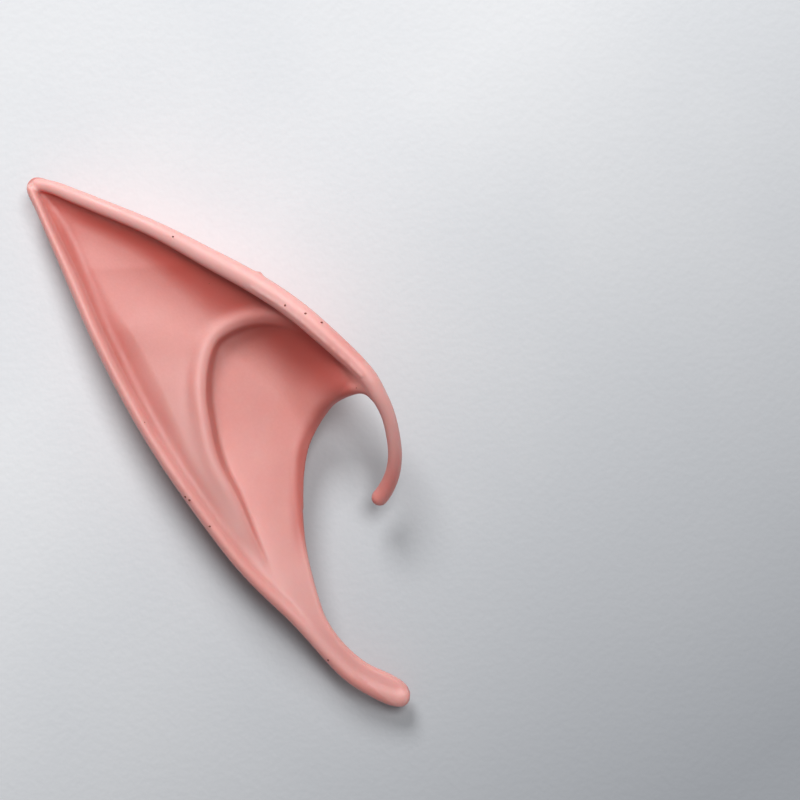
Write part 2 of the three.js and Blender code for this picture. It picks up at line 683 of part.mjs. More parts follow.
// A rod with an oval section and round ends. Each knot is a place on its middle
// line, with the section's width and height there.
function rod(knots, ringCount) {
  const curve = new THREE.CatmullRomCurve3(knots.map(({ place }) => place), false, 'centripetal');
  const length = curve.getLength();
  const sizeAt = (share, name) => {
    const knot = curve.getUtoTmapping(share) * (knots.length - 1);
    const before = Math.min(Math.floor(knot), knots.length - 2);
    return mix(knots[before][name], knots[before + 1][name], knot - before);
  };
  const startRadius = knots[0].width / 2;
  const endRadius = knots.at(-1).width / 2;
  const middles = Array.from({ length: ringCount }, (_, i) => (
    mix(startRadius, length - endRadius, (i + 1) / (ringCount + 1))
  ));
  const stops = [
    ...END_RINGS.map((step) => step * startRadius),
    ...middles,
    ...END_RINGS.toReversed().map((step) => length - step * endRadius),
  ];
  const rings = stops.map((stop) => {
    const share = clamp(stop / length, 0, 1);
    const middle = curve.getPointAt(share);
    const tangent = curve.getTangentAt(share);
    const across = tangent.clone().cross(new THREE.Vector3(0, 0, 1)).normalize();
    const upward = across.clone().cross(tangent);
    const end = quarterCircle(stop / startRadius) * quarterCircle((length - stop) / endRadius);
    const width = sizeAt(share, 'width') * end;
    const height = sizeAt(share, 'height') * end;
    return Array.from({ length: ROD_SIDES + 1 }, (_, k) => {
      const angle = (k % ROD_SIDES) / ROD_SIDES * 2 * Math.PI;
      const point = middle.clone().addScaledVector(across, width / 2 * Math.cos(angle));
      return point.addScaledVector(upward, height / 2 * Math.sin(angle));
    });
  });
  return solidFrom(sheet(rings, true));
}

// A knot of a rim, half its width inside an outline, with its top at a height.
function rimKnot(curve, share, inward, top, width, height) {
  const tangent = curve.getTangentAt(share);
  const side = new THREE.Vector3(-tangent.y, tangent.x, 0).normalize().multiplyScalar(inward);
  const place = curve.getPointAt(share).addScaledVector(side, width / 2 - RIM_OVERHANG);
  place.z = top - height / 2;
  return { place, width, height };
}

function noseKnot(row) {
  const width = row.frontWidth;
  const height = width * RIM_FLATNESS;
  const place = new THREE.Vector3(NOSE.x * EAR_WIDTH, NOSE.y * EAR_HEIGHT, row.front - height / 2);
  return { place, width, height };
}

function rimShares(start, stopsShort) {
  return Array.from({ length: RIM_KNOTS }, (_, i) => mix(start, 1 - stopsShort, i / (RIM_KNOTS - 1)));
}

function hookKnots() {
  return HOOK_LINE.map(({ x, y, z, size }) => ({
    place: new THREE.Vector3(x * EAR_WIDTH, y * EAR_HEIGHT, z * EAR_DEPTH),
    width: size * HOOK_DIAMETER,
    height: size * HOOK_DIAMETER,
  }));
}

// The front rim runs on past the face and becomes the hook.
function makeFrontRim() {
  const rim = rimShares(FRONT_RIM_STARTS, FRONT_RIM_STOPS_SHORT).map((share) => {
    const row = sectionAt(share * HOOK_AT);
    return rimKnot(frontCurve, share, -1, row.front, row.frontWidth, row.frontWidth * RIM_FLATNESS);
  });
  return rod([noseKnot(sectionAt(0)), ...rim, ...hookKnots()], FRONT_ROD_RINGS);
}

// The rear rim becomes the rounded edge of the tail.
function makeRearRim() {
  const rim = rimShares(REAR_RIM_STARTS, REAR_RIM_STOPS_SHORT).map((share) => {
    const row = sectionAt(share);
    const tail = fade(share, TAIL_EDGE_WIDENS);
    const width = mix(row.rearWidth, TAIL_EDGE_WIDTH, tail);
    const height = mix(row.rearWidth * RIM_FLATNESS, TAIL_THICKNESS, tail);
    return rimKnot(rearCurve, share, 1, row.rear, width, height);
  });
  return rod([noseKnot(sectionAt(0)), ...rim], REAR_ROD_RINGS);
}

// The bead follows the free edge from the hook's root to the side of the bowl.
function makeBead() {
  const knots = BEAD_PLACES.map((share) => {
    const row = sectionAt(HOOK_AT + BEAD_REACH * share);
    const width = mix(EDGE_BEAD_WIDTH, LATEX_WALL, smoothStep(share / BEAD_THIN_AT));
    const place = cutCurve.getPointAt(BEAD_REACH * share / (1 - HOOK_AT));
    place.addScaledVector(row.direction, -width / 2);
    place.z = (faceHeight(row, row.width) + innerHeight(row, row.width - insets(row).front)) / 2;
    return { place, width, height: width };
  });
  const root = hookKnots()[1];
  root.width = EDGE_BEAD_WIDTH * BEAD_START;
  root.height = root.width;
  return rod([root, ...knots], BEAD_RINGS);
}

function meshFrom(solid, name, material) {
  const { vertProperties, triVerts, numProp } = solid.getMesh();
  const positions = new Float32Array(vertProperties.length / numProp * 3);
  for (let i = 0; i < positions.length / 3; i += 1) {
    positions.set(vertProperties.subarray(i * numProp, i * numProp + 3), i * 3);
  }
  const geometry = new THREE.BufferGeometry();
  geometry.setAttribute('position', new THREE.BufferAttribute(positions, 3));
  geometry.setIndex(new THREE.BufferAttribute(new Uint32Array(triVerts), 1));
  geometry.computeBoundingBox();
  const box = geometry.boundingBox;
  const middle = box.getCenter(new THREE.Vector3());
  geometry.translate(-middle.x, -middle.y, -box.min.z);
  geometry.computeVertexNormals();
  const mesh = new THREE.Mesh(geometry, material);
  mesh.name = name;
  return mesh;
}

const latex = new THREE.MeshStandardMaterial({ color: '#e39c92', roughness: 0.42, metalness: 0 });
latex.name = 'latex';

const earTip = new THREE.Group();
earTip.name = 'elf_ear_tip';
const moulding = makeShell().add(makeFrontRim()).add(makeRearRim()).add(makeBead());
earTip.add(meshFrom(moulding, 'ear_shell', latex));

export default earTip;
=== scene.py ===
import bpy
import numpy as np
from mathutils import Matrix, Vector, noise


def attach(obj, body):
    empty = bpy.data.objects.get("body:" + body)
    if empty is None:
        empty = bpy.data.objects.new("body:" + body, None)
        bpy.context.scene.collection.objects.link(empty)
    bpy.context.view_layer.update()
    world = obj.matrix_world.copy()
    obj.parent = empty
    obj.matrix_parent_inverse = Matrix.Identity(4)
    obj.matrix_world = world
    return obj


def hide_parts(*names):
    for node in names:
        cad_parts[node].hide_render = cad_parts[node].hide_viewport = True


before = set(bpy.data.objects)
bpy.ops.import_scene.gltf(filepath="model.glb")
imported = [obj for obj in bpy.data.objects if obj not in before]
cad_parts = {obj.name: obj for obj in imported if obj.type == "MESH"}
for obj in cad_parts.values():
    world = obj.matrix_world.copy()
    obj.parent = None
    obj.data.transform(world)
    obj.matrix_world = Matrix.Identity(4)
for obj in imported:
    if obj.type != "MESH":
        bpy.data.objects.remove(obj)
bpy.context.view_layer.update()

# %% [markdown]
# # A pointed latex ear tip
# The real thing is one moulding of thin, soft, salmon-coloured latex. It is pulled over the top
# of an ear: two raised rims meet in the point, a C-shaped lip curls round a bowl, a thin hook
# goes in front of the ear and a flat tail tucks under it.
#
# The frame that is loaded above holds the same moulding as a coarse solid, at its real size. This
# lesson makes the fine surface that stands for it, its material, and a plain studio round it.

MM = 0.001

# %% [markdown]
# ## Sizes
# Every length is in millimetres and has a name. Outlines and heights are short tables of shares,
# so that they follow the overall sizes. The solid in the frame was drawn from nearly the same
# values, which keeps the fine surface in the same place.

# %% Sizes of the moulding
EAR_WIDTH = 64.3
EAR_HEIGHT = 89.0
EAR_DEPTH = 19.0
LATEX_WALL = 1.3
TAIL_THICKNESS = 2.2

FRONT_RIM_WIDTH = 3.5
REAR_RIM_WIDTH = 2.3
RIM_FLATNESS = 0.85
REAR_RIM_SUNK = 0.6
RIM_OVERHANG = 0.15
RIM_NECK = 0.75
REAR_RIM_NECK = 0.55
FRONT_WALL_STEEPNESS = 14
REAR_WALL_STEEPNESS = 5

SLOPE_RUN = 12.0
SLOPE_SHARE = 0.42
SLOPE_POWER = 2.2
COVE_RUN = 3.0
COVE_SHARE = 0.2
COVE_POWER = 2
COVE_BELOW_TOP = 0.4
VALLEY_CLOSING_WIDTH = 7.0
RIDGE_ROUNDNESS = 0.3
BOWL_WALL_RUN = 0.6
BOWL_FOOT_HEIGHT = 0.35
BOWL_FOOT_RUN = 0.9
BOWL_EDGE_REACH = 8.0
LIP_WIDTH = 2.6
LIP_HEIGHT = 0.65
GROOVE_OFFSET = 3.3
GROOVE_WIDTH = 1.8
GROOVE_DEPTH = 0.12

EDGE_ROLL_WIDTH = 2.8
EDGE_ROLL_DROP = 2.2
TAIL_EDGE_WIDTH = 2.5
TAIL_END_WIDTH = 3.6
EDGE_BULGE = 0.45
EDGE_BULGE_OF_ARM = 0.8
BACK_ROUNDING = 8.0
BACK_ROUNDING_SHARE = 0.8
HOOK_DIAMETER = 2.35
HOOK_WEB = 18.0
HOOK_WEB_DEPTH = 2.4
HOOK_WEB_POWER = 2
EDGE_BEAD_WIDTH = 2.4
BEAD_INSET = 0.25
BEAD_TAPER = 1.6
LARGEST_INSET = 0.7

# Places along the moulding: 0 is the point, 1 the end of the tail
HOOK_AT = 0.27
HOLLOW_STARTS = 0.06
END_ROUNDING = 0.02
BEAD_REACH = 0.3

# Spans along the moulding: where something sets in, and over how much it grows. The lip and the
# groove also have where they end, and over how much they fade.
THIN_EDGE_SPAN = (0.20, 0.06)
BEAD_SPAN = (HOOK_AT, 0.02)
HOOK_SPAN = (HOOK_AT, 0.08)
TAIL_SPAN = (0.62, 0.16)
TAIL_EDGE_SPAN = (0.66, 0.16)
TAIL_END_SPAN = (0.9, 0.065)
LIP_SPAN = (0.15, 0.04, 0.63, 0.2)
GROOVE_SPAN = (0.24, 0.04, 0.40, 0.06)
MOUTH_CLOSES = 0.2
FULL_COVER = 0.999

# %% Outlines from above, as shares of the width and the height
REAR_OUTLINE = [
    (0.005, 0.994), (0.000, 0.981), (0.016, 0.955), (0.096, 0.828), (0.196, 0.670),
    (0.323, 0.502), (0.490, 0.325), (0.567, 0.255), (0.712, 0.148), (0.775, 0.094),
    (0.847, 0.043), (0.920, 0.013), (0.970, 0.000), (0.990, 0.006), (1.000, 0.021),
]
FRONT_OUTLINE = [
    (0.005, 0.994), (0.023, 1.000), (0.070, 0.990), (0.194, 0.956), (0.350, 0.909),
    (0.505, 0.853), (0.614, 0.811), (0.725, 0.757), (0.829, 0.689), (0.868, 0.652),
    (0.896, 0.617),
]
CUT_OUTLINE = [
    (0.896, 0.617), (0.866, 0.594), (0.837, 0.589), (0.816, 0.581), (0.782, 0.557),
    (0.749, 0.519), (0.728, 0.479), (0.720, 0.431), (0.719, 0.388), (0.728, 0.309),
    (0.754, 0.228), (0.782, 0.170), (0.824, 0.125), (0.883, 0.086), (0.953, 0.060),
    (0.987, 0.043), (1.000, 0.021),
]
LIP_LINE = [
    (0.829, 0.727), (0.720, 0.713), (0.661, 0.720), (0.614, 0.722), (0.557, 0.714),
    (0.503, 0.691), (0.482, 0.655), (0.474, 0.600), (0.483, 0.543), (0.507, 0.468),
    (0.557, 0.393), (0.600, 0.316), (0.712, 0.131),
]
RIDGE_LINE = [
    (0.030, 0.975), (0.091, 0.927), (0.143, 0.861), (0.194, 0.802), (0.246, 0.740),
    (0.298, 0.683), (0.355, 0.609), (0.394, 0.547), (0.446, 0.468), (0.508, 0.393),
    (0.572, 0.316), (0.650, 0.230), (0.740, 0.140), (0.850, 0.070),
]

# %% The nose that both rims start from, and the hook's middle line
# x, y and z are shares of the three sizes, the last value is a share of the rod's diameter.
NOSE = (0.016, 0.987)
TAIL_TIP = (0.999, 0.022)
HOOK_LINE = [
    (0.886, 0.626, 0.905, 1.30), (0.915, 0.593, 0.880, 1.16), (0.940, 0.556, 0.815, 1.00),
    (0.954, 0.515, 0.720, 0.97), (0.959, 0.475, 0.620, 0.99), (0.951, 0.440, 0.525, 1.06),
    (0.932, 0.410, 0.440, 1.16), (0.906, 0.386, 0.390, 1.18),
]

# Where the bead along the bowl's free edge grows out of the hook, in the same way
BEAD_ROOT = [
    (0.926, 0.578, 0.865, 1), (0.900, 0.598, 0.855, 1), (0.879, 0.6045, 0.840, 1),
    (0.858, 0.604, 0.810, 1),
]

# %% Heights along the moulding, as shares of the depth
# rear and front are the rims' tops, belt the widest level of the sides, back the underside.
# valley, ridge and fossa are the floor from rear to front, concha and edge the bowl.
# rear_width and front_width are shares of the rims' widths, roll of the rolled edge's drop.
# cover is how much of the way round the back is latex.
SECTION_COLUMNS = ("at", "rear", "front", "belt", "back", "valley", "ridge", "fossa",
                   "concha", "edge", "rear_width", "front_width", "roll", "cover")
HEIGHTS = SECTION_COLUMNS[1:SECTION_COLUMNS.index("rear_width")]
SECTIONS = [
    (0.00, 0.41, 0.41, 0.33, 0.27, 0.34, 0.35, 0.35, 0.350, 0.35, 0.85, 0.57, 1.0, 1.00),
    (0.04, 0.45, 0.49, 0.32, 0.19, 0.31, 0.32, 0.30, 0.310, 0.33, 0.75, 0.70, 1.0, 1.00),
    (0.09, 0.51, 0.62, 0.32, 0.10, 0.34, 0.35, 0.31, 0.320, 0.34, 0.80, 0.77, 1.0, 1.00),
    (0.15, 0.58, 0.77, 0.34, 0.03, 0.40, 0.44, 0.38, 0.370, 0.38, 0.95, 0.98, 1.0, 1.00),
    (0.21, 0.64, 0.90, 0.36, 0.00, 0.46, 0.53, 0.46, 0.390, 0.42, 1.00, 1.00, 1.0, 0.91),
    (0.24, 0.67, 0.96, 0.37, 0.00, 0.48, 0.57, 0.50, 0.390, 0.43, 1.00, 0.97, 1.0, 0.82),
    (0.27, 0.69, 0.98, 0.38, 0.00, 0.50, 0.59, 0.54, 0.390, 0.44, 1.00, 0.92, 1.0, 0.74),
    (0.34, 0.70, 0.97, 0.39, 0.00, 0.53, 0.62, 0.57, 0.390, 0.45, 1.00, 0.90, 1.0, 0.64),
    (0.42, 0.70, 0.94, 0.39, 0.00, 0.53, 0.63, 0.56, 0.390, 0.46, 1.00, 0.90, 1.0, 0.57),
    (0.50, 0.68, 0.88, 0.38, 0.00, 0.52, 0.61, 0.54, 0.410, 0.46, 1.00, 0.90, 0.8, 0.50),
    (0.58, 0.63, 0.82, 0.36, 0.01, 0.49, 0.55, 0.50, 0.425, 0.46, 1.00, 0.90, 0.5, 0.44),
    (0.65, 0.59, 0.75, 0.32, 0.05, 0.47, 0.48, 0.48, 0.450, 0.46, 0.97, 0.90, 0.3, 0.35),
    (0.72, 0.52, 0.68, 0.29, 0.10, 0.46, 0.46, 0.46, 0.455, 0.45, 0.95, 0.90, 0.3, 0.22),
    (0.80, 0.44, 0.60, 0.24, 0.14, 0.43, 0.43, 0.43, 0.430, 0.42, 0.90, 0.90, 0.3, 0.00),
    (0.90, 0.34, 0.40, 0.18, 0.12, 0.33, 0.33, 0.33, 0.330, 0.32, 0.80, 0.90, 0.3, 0.00),
    (1.00, 0.24, 0.30, 0.12, 0.05, 0.23, 0.23, 0.23, 0.230, 0.23, 0.80, 0.90, 0.3, 0.00),
]

# %% How finely it is made
ROWS = 420
TIP_ROWS_SHARE = 0.42
POINT_CROWDING = 1.25
END_CROWDING = 0.6
EDGE_CROWDING = 0.5
LEAST_SQUARENESS = 0.4
KNOT_STEPS = 60
BACK_STEPS = 24
FACE_COLUMNS = 240
UNDER_COLUMNS = 90
EDGE_COLUMNS = 6
ROD_RINGS = 420
ROD_SIDES = 36
VOXEL = 0.24
TRIANGLES = 190_000

# %% [markdown]
# ## Curves
# A Catmull-Rom curve goes smoothly through every point of a short list. The centripetal kind
# makes no loops where the points come close together, as they do at the point and the tail.
# It is turned into many short steps of equal length, so that a share of it is easy to find.


# %% A smooth line through a few points, in steps of equal length
def hermite(t, start, leave, end, reach, gap=1):
    return ((2 * t**3 - 3 * t**2 + 1) * start + (t**3 - 2 * t**2 + t) * leave * gap
            + (3 * t**2 - 2 * t**3) * end + (t**3 - t**2) * reach * gap)


def smooth_line(points, steps=400):
    knots = np.array(points, float)
    before = 2 * knots[0] - knots[1]
    after = 2 * knots[-1] - knots[-2]
    knots = np.vstack([before, knots, after])
    t = np.linspace(0, 1, KNOT_STEPS, endpoint=False)[:, None]
    dense = []
    for i in range(1, len(knots) - 2):
        p0, p1, p2, p3 = knots[i - 1:i + 3]
        gaps = [max(np.linalg.norm(b - a) ** 0.5, 1e-6) for a, b in ((p0, p1), (p1, p2), (p2, p3))]
        leave = (p1 - p0) / gaps[0] - (p2 - p0) / (gaps[0] + gaps[1]) + (p2 - p1) / gaps[1]
        reach = (p2 - p1) / gaps[1] - (p3 - p1) / (gaps[1] + gaps[2]) + (p3 - p2) / gaps[2]
        dense.append(hermite(t, p1, leave, p2, reach, gaps[1]))
    dense = np.vstack(dense + [knots[-2:-1]])
    return at_share(dense, np.linspace(0, 1, steps + 1))


def at_share(line, shares):
    steps = np.linalg.norm(np.diff(line[:, :3], axis=0), axis=1)
    lengths = np.concatenate([[0], np.cumsum(steps)])
    wanted = np.asarray(shares) * lengths[-1]
    return np.stack([np.interp(wanted, lengths, line[:, k]) for k in range(line.shape[1])], axis=-1)


def unit(vectors):
    return vectors / np.linalg.norm(vectors, axis=1)[:, None]


def heading(line, shares, step):
    """Which way a line runs at each share of it."""
    ahead = at_share(line, np.clip(shares + step, 0, 1))
    return unit(ahead - at_share(line, np.clip(shares - step, 0, 1)))


PLAN = np.array([EAR_WIDTH, EAR_HEIGHT])


def in_plan(shares):
    return np.array(shares) * PLAN


rear_line, front_line, cut_line, lip_line, ridge_line = (
    smooth_line(in_plan(outline))
    for outline in (REAR_OUTLINE, FRONT_OUTLINE, CUT_OUTLINE, LIP_LINE, RIDGE_LINE))
rear_length = np.linalg.norm(np.diff(rear_line, axis=0), axis=1).sum()
print("rear edge", round(float(rear_length), 1), "mm long")


# %% Distance from many points to a line, positive on its left
def signed_distance(points, line):
    flat = points.reshape(-1, 2)
    nearest = np.full(len(flat), np.inf)
    side = np.ones(len(flat))
    for start, step in zip(line[:-1:2], line[2::2] - line[:-1:2]):
        offset = flat - start
        along = np.clip(offset @ step / (step @ step), 0, 1)
        gap = np.hypot(offset[:, 0] - along * step[0], offset[:, 1] - along * step[1])
        closer = gap < nearest
        nearest[closer] = gap[closer]
        side[closer] = np.sign(step[0] * offset[closer, 1] - step[1] * offset[closer, 0] + 1e-12)
    return (nearest * side).reshape(points.shape[:-1])


def gap_to(points, line):
    return np.abs(signed_distance(points, line))


# %% [markdown]
# ## The form as heights
# Seen from above, the moulding is a field of heights: a floor with a ridge, a bowl let into it,
# a lip, a groove and two low walls that carry the rims. Each is a formula of the distance to a
# line, so its width stays the same all the way along, however the rows cross it. A formula is
# easier to adjust than thousands of hand-placed points.

# %% Shapes that the formulas are made of
def ease(value):
    t = np.clip(value, 0, 1)
    return t * t * (3 - 2 * t)


def rises(value, start, run):
    """0 up to the start, 1 from the end of the run on."""
    return ease((value - start) / run)


def falls(value, end, run):
    """1 up to the run, 0 from the end on."""
    return ease((end - value) / run)


def mix(low, high, share):
    return low + (high - low) * share


def quarter_circle(value):
    """Upright at 0, level from 1 on."""
    t = 1 - np.clip(value, 0, 1)
    return np.sqrt(1 - t * t)


def bump(distance, width):
    return np.exp(-(distance / (width / 2)) ** 2)


def wall_share(from_outline, width, steepness):
    """1 inside a wall, half way down at its width."""
    return 1 / (1 + (from_outline / width) ** steepness)


# %% Heights between the rows of the table
def column(name, at):
    table = np.array(SECTIONS)
    places = table[:, 0]
    knots = table[:, SECTION_COLUMNS.index(name)]
    i = np.clip(np.searchsorted(places, at, side="left") - 1, 0, len(places) - 2)
    before = np.maximum(i - 1, 0)
    after = np.minimum(i + 2, len(places) - 1)
    span = places[i + 1] - places[i]
    t = (at - places[i]) / span
    leave = (knots[i + 1] - knots[before]) / (places[i + 1] - places[before]) * span
    reach = (knots[after] - knots[i]) / (places[after] - places[i]) * span
    return hermite(t, knots[i], leave, knots[i + 1], reach)


def level(name, at):
    return column(name, at) * EAR_DEPTH


# %% The rows, from the point to the tail
tip_rows = int(ROWS * TIP_ROWS_SHARE)
body_rows = ROWS - tip_rows
body_share = np.linspace(0, 1, body_rows)
places = np.concatenate([
    HOOK_AT * (np.arange(tip_rows) / tip_rows) ** POINT_CROWDING,
    mix(HOOK_AT, 1, body_share - END_CROWDING * np.sin(2 * np.pi * body_share) / (2 * np.pi)),
])


def square_to(line, shares, direction):
    """How squarely a row meets a line: 1 at a right angle."""
    tangent = heading(line, shares, step=0.002)
    turn = direction[:, 0] * tangent[:, 1] - direction[:, 1] * tangent[:, 0]
    return np.maximum(np.abs(turn), LEAST_SQUARENESS)


class Rows:
    """Everything that holds for a whole row, one value for each row."""

    def __init__(self, at):
        self.at = at
        on_front = at <= HOOK_AT
        front_share = np.clip(at / HOOK_AT, 0, 1)
        cut_share = np.clip((at - HOOK_AT) / (1 - HOOK_AT), 0, 1)
        self.rear_point = at_share(rear_line, at)
        front_point = np.where(on_front[:, None], at_share(front_line, front_share),
                               at_share(cut_line, cut_share))
        span = front_point - self.rear_point
        self.width = np.maximum(np.linalg.norm(span, axis=1), 1e-4)
        self.direction = span / self.width[:, None]
        beaded = rises(at, *BEAD_SPAN) * (1 - rises(at, HOOK_AT, BEAD_REACH))
        self.width -= EDGE_BEAD_WIDTH * BEAD_INSET * beaded
        self.rear_square = square_to(rear_line, at, self.direction)
        self.front_square = mix(square_to(front_line, front_share, self.direction),
                                square_to(cut_line, cut_share, self.direction),
                                rises(at, *HOOK_SPAN))
        for name in HEIGHTS:
            setattr(self, name, level(name, at))
        self.back = np.maximum(self.back, 0)
        self.rear_width = column("rear_width", at) * REAR_RIM_WIDTH
        self.front_width = column("front_width", at) * FRONT_RIM_WIDTH
        self.rear_neck = (self.rear_width * REAR_RIM_NECK)[:, None]
        self.front_neck = (self.front_width * RIM_NECK)[:, None]
        self.roll = column("roll", at)
        cover = np.clip(column("cover", at), 0, 1)
        self.cover = np.where(cover > FULL_COVER, 1, cover)
        self.thickness = mix(LATEX_WALL, TAIL_THICKNESS, rises(at, *TAIL_SPAN))

    def points(self, from_rear):
        return self.rear_point[:, None] + self.direction[:, None] * from_rear[..., None]


rows = Rows(places)
print(len(places), "rows, the widest", round(float(rows.width.max()), 1), "mm")


# %% The floor, with the bowl let into it
def ridge_floor(rows, points):
    """Rises from the rear rim to the ridge, then falls gently towards the front rim."""
    from_ridge = signed_distance(points, ridge_line)
    from_rear_rim = np.maximum(gap_to(points, rear_line) - rows.rear_neck, 0)
    gap = from_rear_rim + np.abs(from_ridge)
    rise = from_rear_rim / (gap + 1e-6)
    fall = np.abs(from_ridge) / (np.abs(from_ridge) + gap_to(points, front_line) + 1e-6)
    valley = mix(rows.ridge[:, None], rows.valley[:, None], ease(gap / VALLEY_CLOSING_WIDTH))
    up = mix(valley, rows.ridge[:, None], mix(rise, ease(rise), RIDGE_ROUNDNESS))
    down = mix(rows.ridge[:, None], rows.fossa[:, None], ease(fall))
    return np.where(from_ridge < 0, up, down)


def climb(rows, floor, top, from_rim, run, share, power):
    """What a floor gains where it climbs to the side of a rim, over a run or a share of the row."""
    run = np.minimum(run, rows.width * share)[:, None]
    climbed = np.clip(1 - from_rim / run, 0, 1) ** power
    return np.maximum(top[:, None] - floor, 0) * climbed


def slope_rise(rows, points, floor):
    """Under the front rim the face is a steep slope, like the inside of a spoon near its edge."""
    under_rim = rows.front - rows.front_width * RIM_FLATNESS
    from_rim = gap_to(points, front_line) - rows.front_neck
    return climb(rows, floor, under_rim, from_rim, SLOPE_RUN, SLOPE_SHARE, SLOPE_POWER)


def cove_rise(rows, points, floor):
    """Beside the rear rim a small cove leads from the valley up to the side of the roll."""
    beside_rim = rows.rear - rows.rear_width * COVE_BELOW_TOP
    from_rim = gap_to(points, rear_line) - rows.rear_neck
    return climb(rows, floor, beside_rim, from_rim, COVE_RUN, COVE_SHARE, COVE_POWER)


corner = front_line[-1]


def web_share(points):
    """1 at the root of the hook, fading out all round it."""
    return ease(1 - np.linalg.norm(points - corner, axis=-1) / HOOK_WEB) ** HOOK_WEB_POWER


def floor_height(rows, points, shift):
    """The bowl is let into the ridged floor. A web rises from it to the root of the hook."""
    into_bowl = signed_distance(points, lip_line) + shift
    into_edge = ease(1 - gap_to(points, cut_line) / BOWL_EDGE_REACH)
    bowl = mix(rows.concha[:, None], rows.edge[:, None], into_edge)
    bowl = bowl + BOWL_FOOT_HEIGHT * np.exp(-np.maximum(into_bowl, 0) / BOWL_FOOT_RUN)
    shoulder = ridge_floor(rows, points)
    floor = mix(shoulder, np.minimum(bowl, shoulder), ease(into_bowl / BOWL_WALL_RUN))
    floor = floor + slope_rise(rows, points, floor)
    floor = floor + cove_rise(rows, points, floor)
    return mix(floor, rows.front[:, None] - HOOK_WEB_DEPTH, web_share(points))


# %% The outer face: the floor with its rims, lip, groove and rolled edge
def roll_drop(rows, points):
    """How far the rolled edge hangs down, which it doesn't at the root of the hook."""
    return EDGE_ROLL_DROP * rows.roll[:, None] * (1 - web_share(points))


def face_height(rows, from_rear):
    points = rows.points(from_rear)
    into_bowl = signed_distance(points, lip_line)
    at = rows.at[:, None]
    rear_wall = wall_share(gap_to(points, rear_line), rows.rear_neck, REAR_WALL_STEEPNESS)
    front_wall = wall_share(gap_to(points, front_line), rows.front_neck, FRONT_WALL_STEEPNESS)
    walls = rear_wall + front_wall - rear_wall * front_wall
    rear_top = rows.rear - rows.rear_width * RIM_FLATNESS / 2
    front_top = rows.front - rows.front_width * RIM_FLATNESS / 2
    wall_top = ((rear_top[:, None] * rear_wall + front_top[:, None] * front_wall)
                / (rear_wall + front_wall + 1e-9))
    lip_fade = rises(at, *LIP_SPAN[:2]) * falls(at, *LIP_SPAN[2:])
    groove_fade = rises(at, *GROOVE_SPAN[:2]) * falls(at, *GROOVE_SPAN[2:])
    height = floor_height(rows, points, 0)
    height = height + lip_fade * LIP_HEIGHT * bump(into_bowl + LIP_WIDTH / 2, LIP_WIDTH)
    height = height - groove_fade * GROOVE_DEPTH * bump(into_bowl + GROOVE_OFFSET, GROOVE_WIDTH)
    height = mix(height, wall_top, walls)
    roll = 1 - quarter_circle(gap_to(points, cut_line) / (EDGE_ROLL_WIDTH * rows.roll[:, None]))
    return height - roll_drop(rows, points) * roll * (1 - front_wall)


# %% The inner face, above the wearer's ear: plain, one thickness deeper
def inner_height(rows, from_rear):
    points = rows.points(from_rear)
    thickness = rows.thickness[:, None]
    curl = np.maximum(roll_drop(rows, points) - thickness, 0)
    rolled = (gap_to(points, cut_line) - thickness) / np.maximum(EDGE_ROLL_WIDTH - thickness, 0.1)
    floor = floor_height(rows, points, thickness)
    return floor - thickness - curl * (1 - quarter_circle(rolled))


# %% [markdown]
# ## From heights to a hollow skin
# Each row becomes a chain of points: across the face, down the rear side, along the back and up
# towards the front. A second chain follows one latex wall inside. Where `cover` is less than 1,
# both chains stop early and a rounded edge joins them: that is the mouth of the pocket.

# %% The way round the back
def under_chain(rows, i, rear_top, front_top, inset):
    rear_side = inset / rows.rear_square[i]
    front_side = rows.width[i] - inset / rows.front_square[i]
    rounding = min(BACK_ROUNDING - inset, (front_side - rear_side) / 2 * BACK_ROUNDING_SHARE)
    back = rows.back[i] + inset
    belt = max(min(rows.belt[i], rear_top[2], front_top[2]), back)
    angle = np.linspace(0, np.pi / 2, BACK_STEPS)
    depth = belt - (belt - back) * np.sin(angle)
    rear_corner = rear_side + rounding * (1 - np.cos(angle))
    front_corner = front_side - rounding * (1 - np.cos(angle))
    along = np.concatenate([rear_corner, front_corner[::-1]])
    plan = rows.rear_point[i] + rows.direction[i] * along[:, None]
    path = np.column_stack([plan, np.concatenate([depth, depth[::-1]])])
    path = np.vstack([rear_top, path, front_top])
    shares = np.linspace(0, 1, UNDER_COLUMNS + 1)[1:] * rows.cover[i]
    return at_share(path, shares)


# %% Both chains of every row
def end_point(at):
    plan = at_share(rear_line, [at])[0]
    return np.array([*plan, level("valley", np.array([at]))[0] - TAIL_THICKNESS / 2])


tip_point = end_point(0.0)
tail_point = end_point(1.0)


def draw_in_ends(rows, chains):
    """The point and the end of the tail are round."""
    share = quarter_circle(np.minimum(rows.at, 1 - rows.at) / END_ROUNDING)[:, None]
    middle = np.where(rows.at < 0.5, tip_point[2], tail_point[2])[:, None]
    chains[..., 2] = mix(middle, chains[..., 2], share)
    return chains


def chains_from(rows, stations, heights, inset):
    face = np.concatenate([rows.points(stations), heights[..., None]], axis=-1)
    under = np.array([under_chain(rows, i, face[i, -1], face[i, 0], inset)
                      for i in range(len(rows.at))])
    return draw_in_ends(rows, np.concatenate([face, under], axis=1))


even = np.linspace(1, 0, FACE_COLUMNS)
spread = mix(even, (1 - np.cos(np.pi * even)) / 2, EDGE_CROWDING)
outer_stations = rows.width[:, None] * spread
outer = chains_from(rows, outer_stations, face_height(rows, outer_stations), 0)
outer[0] = tip_point
outer[-1] = tail_point

